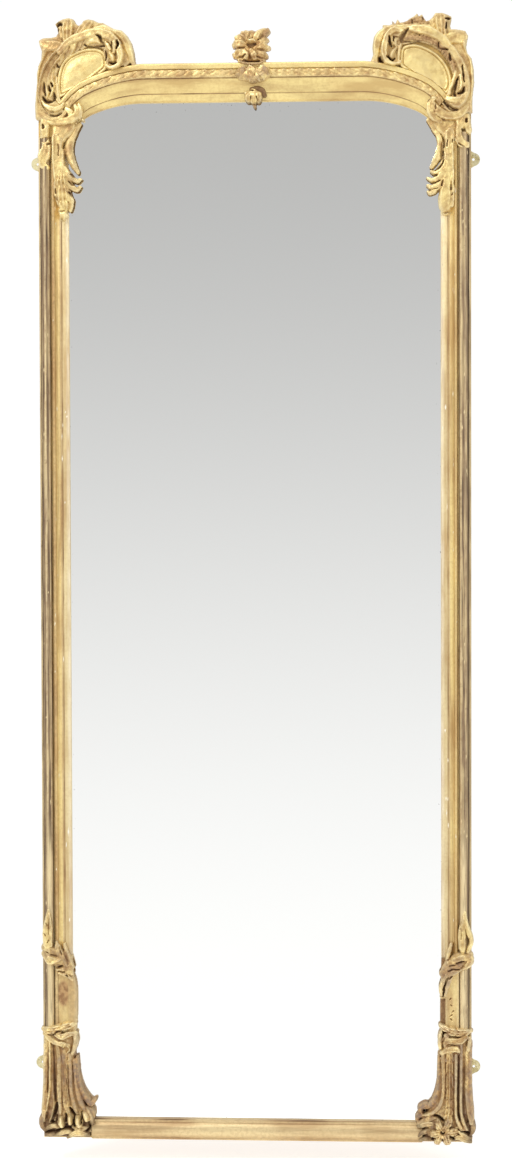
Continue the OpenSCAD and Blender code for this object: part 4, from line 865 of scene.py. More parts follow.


# Outlines are (x, y) from the corner of the frame, strokes are (cut, rubbed share, rows of
# (x, y, half width, height)) and, where they are lobed, the number and depth of the lobes, and
# hollows are (floor, rows of (x, y, half width)). The rubbed share darkens a leaf for wear and,
# in places, painted shade; the hollows take dirt and painted shade.
SADDLE = ("soft", 0.1, [(-52, -112, 28, 20), (-50, -126, 25, 23), (-44, -140, 18, 25), (-41, -152, 13, 27)])
CREST = {
    "left": {
        "reserve": [(-44, -68), (-40, -50), (-41, -24), (-48, 0), (-62, 16), (-82, 26), (-104, 31),
            (-124, 29), (-137, 19), (-141, 2), (-139, -12)],
        "outline": [(3, -108), (4, -85), (2, -60), (0, -40), (0, -20), (-4, -2), (-9, 9), (-10, 25),
            (-6, 36), (-4, 46), (-12, 51), (-30, 52), (-39, 54), (-42, 62), (-41, 70), (-37, 78),
            (-44, 84), (-52, 88), (-64, 90), (-74, 87), (-78, 79), (-84, 75), (-90, 78), (-93, 84),
            (-102, 87), (-114, 85), (-124, 80), (-132, 80), (-142, 74), (-155, 67), (-170, 64), (-180, 54),
            (-188, 40), (-193, 22), (-195, 5), (-199, -8), (-190, -8), (-186, 0), (-178, -8), (-168, -14),
            (-150, -17)],
        "scroll": [
            ("band", 0.45, [(-54, -89, 6, 28), (-36, -95, 8, 32), (-20, -88, 9, 35), (-12, -66, 10, 37),
                (-14, -36, 10, 38), (-23, -10, 10, 40), (-40, 14, 10, 41), (-58, 32, 8, 40)]),
            ("soft", 0.25, [(-46, 22, 7, 38), (-66, 42, 10, 40), (-94, 54, 11, 41)]),
            ("soft", 0.0, [(-84, 51, 9, 40), (-104, 57, 11, 41.5), (-128, 58, 12, 42), (-149, 50, 11, 42),
                (-163, 32, 9, 42), (-167, 10, 8, 41), (-161, -5, 6, 39), (-148, -10, 5, 36),
                (-139, -5, 4, 30)]),
            ("soft", 0.0, [(-140, 46, 5, 37), (-149, 42, 6, 40), (-156, 30, 5, 40), (-155, 20, 4, 37)]),
            ("soft", 0.1, [(-136, 40, 4, 34), (-143, 34, 5, 37), (-147, 26, 4, 36)]),
            ("round", 0.0, [(-147, 18, 7, 36), (-151, 11, 8, 39), (-152, 6, 6, 36)]),
            ("gouge", 0.4, [(-136, 26, 4, 28), (-139, 14, 5, 32), (-142, 2, 4, 30), (-144, -6, 3, 26)]),
            ("soft", 0.0, [(-96, 34, 4, 28), (-104, 43, 8, 36), (-116, 46, 9, 38), (-126, 42, 6, 34)]),
            ("gouge", 0.35, [(-90, 30, 4, 28), (-96, 41, 7, 36), (-101, 50, 5, 35)]),
            ("gouge", 0.45, [(-78, 24, 4, 26), (-84, 36, 7, 35), (-90, 46, 5, 35)]),
            ("soft", 0.15, [(-66, 18, 4, 26), (-72, 30, 7, 35), (-78, 42, 5, 36)]),
            ("gouge", 0.5, [(-55, 10, 4, 26), (-61, 22, 6, 34), (-66, 34, 5, 35)]),
            ("soft", 0.4, [(-45, 0, 4, 26), (-50, 12, 6, 33), (-54, 24, 4, 34)]),
            ("soft", 0.25, [(-38, -16, 4, 26), (-41, -4, 5, 31), (-43, 8, 4, 32)]),
            ("soft", 0.15, [(-33, -6, 4, 28), (-30, -24, 7, 33), (-27, -42, 7, 34), (-23, -56, 5, 35),
                (-20, -66, 3, 30)]),
            ("round", 0.0, [(-35, -32, 3, 28), (-34, -46, 4, 33), (-31, -58, 4, 35), (-27, -66, 3, 30)]),
            ("gouge", 0.2, [(-38, -24, 3, 24), (-40, -44, 4, 30), (-40, -62, 5, 30), (-45, -76, 4, 28)]),
            ("soft", 0.0, [(-11, -74, 3, 32), (-20, -84, 6, 37), (-34, -90, 7, 38), (-48, -86, 6, 35),
                (-54, -78, 3, 30)])],
        "crown": [
            ("round", 0.25, [(-1, -104, 6, 24), (0, -60, 7, 29), (-1, -24, 7, 30), (-7, 2, 8, 32),
                (-17, 26, 10, 32)]),
            ("soft", 0.15, [(-56, 30, 13, 34), (-38, 34, 15, 34), (-22, 36, 14, 32), (-10, 40, 7, 27)]),
            ("flutes", 0.25, [(-62, 44, 10, 35), (-62, 62, 13, 35), (-63, 77, 13, 33), (-64, 88, 9, 26)]),
            ("soft", 0.4, [(-50, 52, 5, 33), (-45, 68, 4, 30), (-42, 80, 5, 28), (-48, 85, 4, 25)]),
            ("flutes", 0.3, [(-84, 54, 9, 36), (-96, 68, 13, 35), (-104, 80, 13, 30), (-106, 86, 9, 25)]),
            ("gouge", 0.15, [(-112, 60, 7, 36), (-122, 70, 8, 33), (-130, 78, 5, 27)]),
            ("soft", 0.0, [(-118, 66, 8, 35), (-144, 67, 9, 36), (-166, 58, 11, 35), (-180, 40, 11, 33),
                (-186, 20, 9, 32), (-190, 4, 7, 28), (-196, -6, 3, 21)]),
            ("scoop", 0.45, [(-170, 42, 4, 33), (-176, 24, 5, 33), (-177, 6, 6, 31), (-172, -8, 5, 27)])],
        "corner": [
            SADDLE,
            ("gouge", 0.25, [(-5, -84, 4, 28), (-14, -98, 6, 33), (-32, -106, 7, 34), (-50, -101, 6, 33),
                (-58, -92, 4, 30)]),
            ("soft", 0.1, [(-10, -104, 5, 24), (-28, -114, 7, 29), (-52, -114, 9, 32), (-72, -106, 10, 34),
                (-84, -92, 8, 35), (-84, -80, 4, 31)]),
            ("gouge", 0.05, [(-58, -88, 4, 31), (-66, -94, 6, 35), (-68, -104, 6, 34), (-60, -112, 5, 31)]),
            ("soft", 0.1, [(-76, -82, 4, 32), (-80, -94, 6, 36), (-84, -104, 6, 33), (-90, -110, 3, 24)])],
        "hollows": [(12, [(-52, 75, 1.6), (-46, 78, 3.2), (-41, 73, 2)]), (14, [(-44, 68, 1.4),
            (-42, 58, 1.4)]), (20, [(-120, 54, 1), (-126, 52, 2.8), (-129, 43, 2.4), (-134, 38, 2)]),
            (16, [(-96, 36, 1.2), (-104, 33, 1.8), (-122, 33, 2), (-135, 34, 1.8)]),
            (22, [(-151, 40, 0.7), (-150, 31, 0.9)]), (16, [(-161, 42, 1.2), (-163, 34, 2.2),
            (-160, 26, 1.4)]), (12, [(-144, 1, 1), (-150, -1, 2.8), (-158, 0, 2)]),
            (14, [(-139, -14, 1.2), (-154, -15, 2), (-172, -7, 1.4)]), (16, [(-137, 24, 0.9),
            (-139, 14, 1.3), (-137, 6, 1.8)]), (16, [(-41, -2, 1), (-42.5, -6, 2.2)]),
            (16, [(-14, -38, 1), (-15, -50, 2), (-18, -63, 1.4)]), (18, [(-29, -38, 1), (-32, -45, 2)]),
            (16, [(-25, -44, 1.2), (-27, -54, 2.2)]), (14, [(-34, -58, 1), (-36, -68, 2.8),
            (-33, -74, 1.4)]), (12, [(-13, -66, 1.4), (-19, -74, 3), (-30, -76, 1.4)]),
            (14, [(-27, -101, 1), (-38, -103, 2.2), (-48, -98, 1.6)]), (8, [(-59, -71, 2),
            (-64, -81, 3.6), (-72, -71, 1.6), (-84, -60, 0.8)]), (22, [(-72, -84, 0.8), (-73, -92, 1.4),
            (-72, -98, 0.8)]), (16, [(-95, -96, 1), (-91, -104, 1.8), (-88, -110, 1.2)]),
            (24, [(-8, -90, 0.7), (-18, -97, 1.1), (-34, -95, 0.8)])]},
    "right": {
        "reserve": [(-48, -70), (-39, -56), (-39, -34), (-48, -10), (-64, 9), (-84, 22), (-105, 30),
            (-125, 29), (-137, 22), (-140, 5), (-140, -13)],
        "outline": [(3, -104), (2, -90), (3, -70), (6, -45), (5, -20), (1, 0), (-7, 10), (-10, 22),
            (-8, 35), (-6, 45), (-11, 54), (-25, 57), (-39, 58), (-41, 66), (-39, 75), (-38, 82),
            (-45, 86), (-58, 90), (-70, 90), (-77, 80), (-82, 76), (-88, 74), (-92, 80), (-96, 88),
            (-102, 84), (-106, 90), (-112, 84), (-120, 80), (-126, 75), (-132, 73), (-139, 72), (-144, 79),
            (-149, 70), (-155, 77), (-154, 70), (-160, 67), (-174, 68), (-173, 62), (-184, 54), (-191, 44),
            (-194, 26), (-192, 10), (-198, -5), (-190, -10), (-182, -12), (-170, -13), (-155, -16)],
        "scroll": [
            ("soft", 0.35, [(-52, -88, 6, 30), (-36, -94, 8, 34), (-19, -84, 10, 36), (-10, -60, 10, 37),
                (-13, -32, 10, 38), (-24, -6, 10, 40), (-40, 18, 10, 41)]),
            ("soft", 0.0, [(-34, 10, 9, 39), (-58, 38, 11, 41), (-84, 53, 12, 42), (-108, 58, 10, 40),
                (-124, 60, 5, 36)]),
            ("flutes", 0.95, [(-130, 40, 4, 28), (-108, 41, 7, 33), (-84, 38, 8, 34), (-62, 27, 9, 34),
                (-46, 9, 9, 34), (-36, -10, 7, 32), (-33, -26, 4, 28)], 19, 0.34),
            ("soft", 0.0, [(-134, 54, 5, 36), (-150, 57, 8, 40), (-163, 46, 8, 42), (-170, 26, 8, 42),
                (-169, 6, 8, 41), (-161, -7, 7, 39), (-148, -11, 6, 36), (-139, -5, 4, 31)]),
            ("gouge", 0.1, [(-140, 47, 4, 34), (-150, 48, 5, 38), (-157, 36, 5, 39), (-156, 24, 4, 36)]),
            ("gouge", 0.2, [(-142, 40, 3, 34), (-149, 37, 4, 38), (-149, 28, 4, 37), (-142, 25, 3, 33)]),
            ("round", 0.3, [(-146, 22, 4, 34), (-153, 13, 6, 38), (-156, 4, 6, 38)]),
            ("soft", 0.3, [(-136, 32, 4, 30), (-141, 18, 4, 33), (-142, 4, 4, 32), (-143, -4, 3, 28)]),
            ("soft", 0.1, [(-30, -26, 4, 30), (-36, -44, 4, 31), (-41, -62, 5, 31), (-47, -76, 4, 28)]),
            ("round", 0.0, [(-23, -32, 4, 31), (-20, -46, 6, 36), (-21, -58, 6, 38), (-24, -64, 3, 33)]),
            ("soft", 0.0, [(-12, -66, 3, 32), (-17, -77, 6, 36), (-30, -82, 8, 38), (-44, -80, 7, 36),
                (-54, -74, 4, 31)])],
        "crown": [
            ("round", 0.2, [(-1, -98, 6, 24), (2, -70, 6, 29), (3, -42, 7, 30), (1, -14, 7, 31),
                (-5, 8, 8, 32), (-14, 30, 10, 32)]),
            ("soft", 0.1, [(-52, 34, 13, 34), (-36, 40, 15, 34), (-22, 40, 14, 32), (-12, 42, 8, 27)]),
            ("flutes", 0.3, [(-58, 44, 11, 35), (-58, 62, 14, 35), (-59, 77, 15, 33), (-60, 88, 11, 26)]),
            ("gouge", 0.2, [(-73, 62, 5, 34), (-74, 76, 5, 33), (-72, 86, 5, 28)]),
            ("flutes", 0.9, [(-84, 70, 5, 29), (-98, 75, 10, 30), (-114, 73, 8, 29),
                (-132, 70, 4, 27)], 6, 0.4),
            ("gouge", 0.9, [(-108, 68, 4, 29), (-105, 78, 4, 28), (-104, 88, 2.4, 23)]),
            ("gouge", 0.8, [(-144, 68, 3, 28), (-145, 76, 2.4, 24)]),
            ("gouge", 0.8, [(-154, 68, 3, 28), (-156, 76, 2, 23)]),
            ("soft", 0.0, [(-82, 61, 6, 35), (-110, 63, 7, 36), (-140, 61, 7, 36), (-160, 59, 9, 35),
                (-176, 50, 10, 35), (-184, 33, 10, 34), (-186, 14, 8, 32), (-190, 1, 6, 28),
                (-195, -5, 3, 21)])],
        "corner": [
            SADDLE,
            ("soft", 0.2, [(-76, -86, 6, 33), (-66, -99, 9, 36), (-47, -111, 10, 36), (-25, -110, 10, 34),
                (-10, -96, 8, 32), (-4, -78, 4, 28)]),
            ("round", 0.0, [(-70, -106, 3, 35), (-54, -116, 3, 36), (-34, -118, 3, 34),
                (-14, -110, 3, 29)]),
            ("gouge", 0.1, [(-70, -74, 4, 32), (-79, -82, 7, 36), (-81, -98, 7, 36), (-74, -113, 7, 34),
                (-60, -122, 5, 31)])],
        "hollows": [(14, [(-50, 77, 1.6), (-45, 78, 2), (-41, 78, 1.2)]), (18, [(-48, 70, 1),
            (-49, 58, 1.4)]), (18, [(-124, 58, 1.4), (-130, 51, 2.8), (-136, 41, 4.6),
            (-136, 35, 3.4)]), (18, [(-134, 34, 2), (-118, 34, 1.6), (-102, 35, 1.2)]),
            (18, [(-160, 44, 0.9), (-160, 34, 2), (-156, 24, 1.6)]), (12, [(-164, 5, 1.2),
            (-156, -1, 2.2), (-150, 0, 1.4)]), (12, [(-168, -10, 1), (-155, -14.5, 1.8),
            (-141, -13, 1.6)]), (8, [(-180, 4, 2), (-178, -4, 4), (-174, -9, 3)]),
            (20, [(-151, 44, 0.8), (-153, 34, 1)]), (22, [(-43, 8, 1), (-41, -3, 2.4)]),
            (23, [(-64, 30, 1), (-62, 20, 1.8), (-46, 16, 1.2)]), (12, [(-25, -37, 1.4),
            (-30, -50, 2.6), (-35, -65, 4), (-31, -73, 2.4)]), (14, [(-14, -58, 1.2), (-17, -66, 2.6),
            (-25, -69, 1.6)]), (22, [(-17, -14, 0.8), (-16, -30, 1.3), (-13, -47, 0.9)]),
            (14, [(-55, -84, 1.2), (-46, -92, 2.8), (-36, -99, 3), (-27, -100, 1.2)]),
            (10, [(-70, -69, 1), (-62, -75, 3), (-52, -75, 1.6)]), (12, [(-80, -76, 1.4),
            (-86, -82, 2.4)]), (22, [(-70, -86, 0.9), (-70, -98, 1.3)]), (20, [(-85, -70, 0.8),
            (-78, -75, 1.6)]), (20, [(-94, 74, 0.9), (-96, 82, 1.2)]), (20, [(-115, 70, 0.9),
            (-117, 78, 1.2)])]}}


def reserve(side, word):
    """The half-moon field inside a broad smooth border and a fine line, and below it the line of
    the head, 75 mm out from the sight between two angles of its wide arc."""
    a = np.linspace(77, 49, 18)
    x, z = head_xy(a, spread(np.full(len(a), 75.0), a))
    foot = np.stack([x - EDGE, z - TOP], 1)
    arc = smooth_path(CREST[word]["reserve"], 5)

    def height(d):
        bead = 12 + 10.5 * np.sqrt(np.clip(1 - ((d - 3.6) / 3.8) ** 2, 0, 1))
        line = 19.4 + 1.4 * np.sqrt(np.clip(1 - ((d - 9.2) / 1.1) ** 2, 0, 1))
        field = 18.6 + 1.8 * ramp(d, 10.4, 26)
        return np.select([d < 7.0, d < 8.0, d < 10.4], [bead, 17.0, line], field)
    moon = corner((-150, -98), (-34, 36))
    moon.plate(np.vstack([foot[::-1] + (2, -16), arc]), height, 11.5)
    moon.edge = np.minimum(moon.edge, moon.inside_of(np.vstack([foot[::-1], arc])))
    moon.digs(CREST[word]["hollows"])
    moon.cast("crest_panel_" + word, FIELD_GILT, side, 80 + side, rough=0.2)


def crest_scroll(side, word):
    """The C-scroll: a raised band from the saddle, up the outer arm and over the reserve to the
    volute at its inner end, with the row of husks under it."""
    c = corner((-190, -122), (8, 80))
    c.strokes(CREST[word]["scroll"], 1.0).digs(CREST[word]["hollows"])
    c.cast("crest_scroll_" + word, CARVED, side, 90 + side)


def crest_crown(side, word):
    """The acanthus that makes the crest's outline: its edge all round, then the arm, the ear, the
    lobes along the top and the falling leaf, all kept inside the outline and low along it."""
    c = corner((-204, -124), (12, 96))
    under = [(-140, -12), (-142, 10), (-134, 28), (-104, 34), (-78, 26), (-58, 12), (-44, -8),
             (-34, -40), (-36, -70), (-50, -84), (-56, -96), (-40, -108), (-18, -113)]
    whole = CREST[word]["outline"] + under
    c.plate(whole, edged(18, 25, 7), 1.0, 0.45)
    c.strokes(CREST[word]["crown"], 1.0)
    inside = c.inside_of(whole)
    c.edge = np.where(inside < 0, np.minimum(c.edge, inside), c.edge)
    c.top = np.minimum(c.top, edged(14, 37, 9)(np.maximum(inside, 0)))
    c.digs(CREST[word]["hollows"])
    c.cast("crest_crown_" + word, CARVED, side, 100 + side)


def corner_scroll(side, word):
    """The saddle under the reserve and the leaves that curl round it, flatter above 16 mm."""
    c = corner((-102, -158), (2, -66))
    c.strokes(CREST[word]["corner"], 0.5)
    c.top = np.where(c.top > 16, 16 + 0.72 * (c.top - 16), c.top)
    c.digs(CREST[word]["hollows"], 0.8)
    c.cast("corner_scroll_" + word, CARVED, side, 110 + side)


# Stems stand on the carcase, and the hooks lie over the slip and the glass, 11 mm out.
DROP = {
    "left": {
        "stem": [
            ("soft", 0.15, [(-40, -146, 13, 27), (-40, -175, 12, 29), (-41, -205, 11, 29),
                (-42, -235, 9, 27)]),
            ("round", 0.0, [(-33, -140, 5, 28), (-32, -170, 4, 31), (-33, -200, 4, 30),
                (-36, -226, 4, 28)]),
            ("soft", 0.2, [(-50, -170, 4, 27), (-50, -195, 5, 30), (-52, -215, 5, 30), (-50, -236, 4, 27)]),
            ("flutes", 0.1, [(-50, -206, 7, 28), (-48, -232, 11, 30), (-50, -256, 13, 29),
                (-52, -276, 13, 27), (-52, -288, 8, 22)], 3, 0.16),
            ("gouge", 0.35, [(-38, -222, 4, 25), (-37, -244, 6, 28), (-39, -262, 5, 27),
                (-44, -280, 4, 24)]),
            ("soft", 0.05, [(-48, -288, 8, 23), (-50, -298, 9, 25), (-49, -306, 5, 18)])],
        "hooks": [
            ("round", 0.35, [(-84, -118, 4, 13), (-75, -132, 6, 14), (-66, -150, 8, 17),
                (-62, -170, 9, 20), (-66, -186, 8, 24), (-72, -200, 7, 27), (-79, -214, 4, 20)]),
            ("soft", 0.05, [(-54, -206, 6, 28), (-66, -224, 6, 29), (-78, -230, 5, 25),
                (-85, -227, 3, 18)]),
            ("gouge", 0.2, [(-54, -222, 6, 28), (-66, -240, 7, 28), (-78, -247, 5, 24),
                (-84, -243, 3, 18)]),
            ("soft", 0.1, [(-56, -246, 7, 27), (-64, -262, 6, 26), (-67, -276, 5, 23), (-64, -288, 4, 18)])],
        "hollows": [(13, [(-44, -140, 1.6), (-50, -141, 2.6), (-58, -138, 3), (-64, -140, 1.6)]),
            (20, [(-41, -158, 0.8), (-43, -170, 1.2), (-42, -182, 0.8)]), (14, [(-60, -192, 1),
            (-63, -202, 1.8), (-71, -213, 1.4)]), (8, [(-66, -217, 1.8), (-73, -221, 3),
            (-80, -222, 1.6)]), (16, [(-62, -232, 1), (-70, -238, 1.5), (-80, -240, 1)]),
            (8, [(-63, -253, 2), (-69, -258, 3.2), (-73, -264, 1.6)]), (16, [(-36, -246, 1),
            (-37, -254, 2)]), (16, [(-36, -262, 1.2), (-39, -268, 2)]), (16, [(-38, -289, 1),
            (-46, -291, 1.4), (-53, -289, 1)]), (10, [(-47, -306, 1.2), (-50, -312, 2)])]},
    "right": {
        "stem": [
            ("soft", 0.1, [(-42, -144, 13, 27), (-42, -172, 11, 30), (-42, -205, 10, 30),
                (-43, -235, 9, 28)]),
            ("round", 0.0, [(-36, -150, 3, 28), (-37, -180, 3.4, 31), (-36, -215, 3, 30),
                (-36, -250, 3, 28)]),
            ("gouge", 0.2, [(-50, -176, 4, 28), (-49, -205, 5, 31), (-51, -228, 5, 30)]),
            ("soft", 0.0, [(-50, -212, 6, 28), (-47, -236, 9, 30), (-50, -258, 13, 30),
                (-52, -278, 13, 28), (-50, -292, 11, 24), (-50, -299, 8, 18)]),
            ("gouge", 0.3, [(-38, -232, 4, 26), (-37, -252, 5, 29), (-38, -270, 6, 27),
                (-38, -286, 5, 24)])],
        "hooks": [
            ("soft", 0.15, [(-84, -118, 4, 13), (-74, -132, 6, 14), (-64, -150, 6, 17), (-61, -170, 7, 20),
                (-65, -188, 8, 25), (-71, -200, 7, 27), (-77, -211, 4, 20)]),
            ("soft", 0.05, [(-54, -200, 5, 28), (-62, -216, 6, 29), (-72, -222, 4, 26),
                (-78, -219, 3, 20)]),
            ("soft", 0.1, [(-52, -218, 6, 28), (-64, -231, 6, 28), (-76, -236, 5, 25), (-85, -232, 3, 18)]),
            ("gouge", 0.2, [(-54, -234, 6, 28), (-66, -246, 6, 28), (-78, -250, 5, 24),
                (-85, -247, 3, 18)]),
            ("soft", 0.2, [(-60, -246, 5, 26), (-70, -256, 5, 25), (-80, -261, 4, 21),
                (-85, -258, 2.4, 17)])],
        "hollows": [(14, [(-48, -136, 1.4), (-55, -137, 2.4), (-60, -136, 1.4)]),
            (13, [(-57, -162, 1.2), (-57, -178, 2.8), (-58, -192, 2.4)]), (18, [(-46, -158, 0.7),
            (-48, -172, 1)]), (18, [(-37, -158, 1.2), (-37, -163, 1)]), (14, [(-54, -198, 1),
            (-60, -210, 1.5), (-70, -219, 1.1)]), (12, [(-66, -227, 1.2), (-74, -227, 2.6),
            (-79, -223, 1.6)]), (15, [(-60, -238, 0.9), (-72, -241, 1.5), (-80, -240, 1)]),
            (17, [(-66, -252, 0.8), (-80, -255, 1.2)]), (18, [(-55, -238, 0.9), (-58, -248, 1.5)]),
            (12, [(-66, -258, 1.6), (-69, -266, 2.2), (-66, -276, 1)]), (18, [(-40, -246, 0.8),
            (-40, -256, 1.3)]), (18, [(-36, -262, 1), (-38, -266, 1.2)]), (12, [(-62, -300, 1.6),
            (-52, -301, 1.6), (-40, -300, 1)])]}}


def stile_drop(side, word):
    """The acanthus drop: a smooth stem and a lobed leaf whose hooks reach over slip and glass."""
    c = corner((-92, -314), (-26, -112))
    c.strokes(DROP[word]["stem"], 0.5).strokes(DROP[word]["hooks"], 11.0).digs(DROP[word]["hollows"], 0.75)
    c.cast("stile_drop_" + word, CARVED, side, 120 + side)


TORUS_LEAF = {
    "left": (
        [("soft", 0.1, [(-14, -110, 8, 25), (-15, -128, 10, 27), (-14, -146, 9, 27)]),
         ("gouge", 0.15, [(-16, -150, 8, 27), (-18, -164, 10, 28), (-15, -180, 12, 28), (-12, -192, 9, 25)]),
         ("soft", 0.0, [(-8, -172, 5, 27), (-7, -186, 6, 27), (-11, -198, 8, 26), (-18, -204, 7, 22)])],
        [(17, [(-11, -119, 1.6), (-12, -125, 2.6)]),
         (9, [(-6, -149, 2.4), (-14, -150, 3), (-20, -147, 1.6)]),
         (15, [(-20, -158, 1.6), (-27, -157, 1.2)]), (16, [(-23, -192, 1.4), (-25, -190, 1)])]),
    "right": (
        [("soft", 0.1, [(-10, -110, 8, 25), (-8, -126, 8, 27), (-5, -142, 6, 26)]),
         ("soft", 0.15, [(-20, -112, 9, 25), (-22, -130, 10, 28), (-24, -148, 8, 28), (-18, -162, 9, 28),
                         (-8, -168, 6, 25)]),
         ("gouge", 0.0, [(-30, -158, 4, 27), (-20, -167, 6, 29), (-8, -170, 5, 26)])],
        [(16, [(-9, -118, 2), (-9, -123, 2.4)]),
         (8, [(-17, -139, 1.8), (-13, -147, 3.6), (-8, -156, 3.4), (-7, -161, 1.6)]),
         (20, [(-25, -165, 1), (-14, -173, 1.4)])])}


def torus_leaf_top(side, word):
    """The leaf over the upper end of the torus, three lobes lapping inwards."""
    c = corner((-32, -210), (4, -108))
    strokes, hollows = TORUS_LEAF[word]
    c.strokes(strokes, 10.5).digs(hollows)
    c.cast("torus_leaf_top_" + word, CARVED, side, 130 + side)


# ---- clasps, panels and feet ----

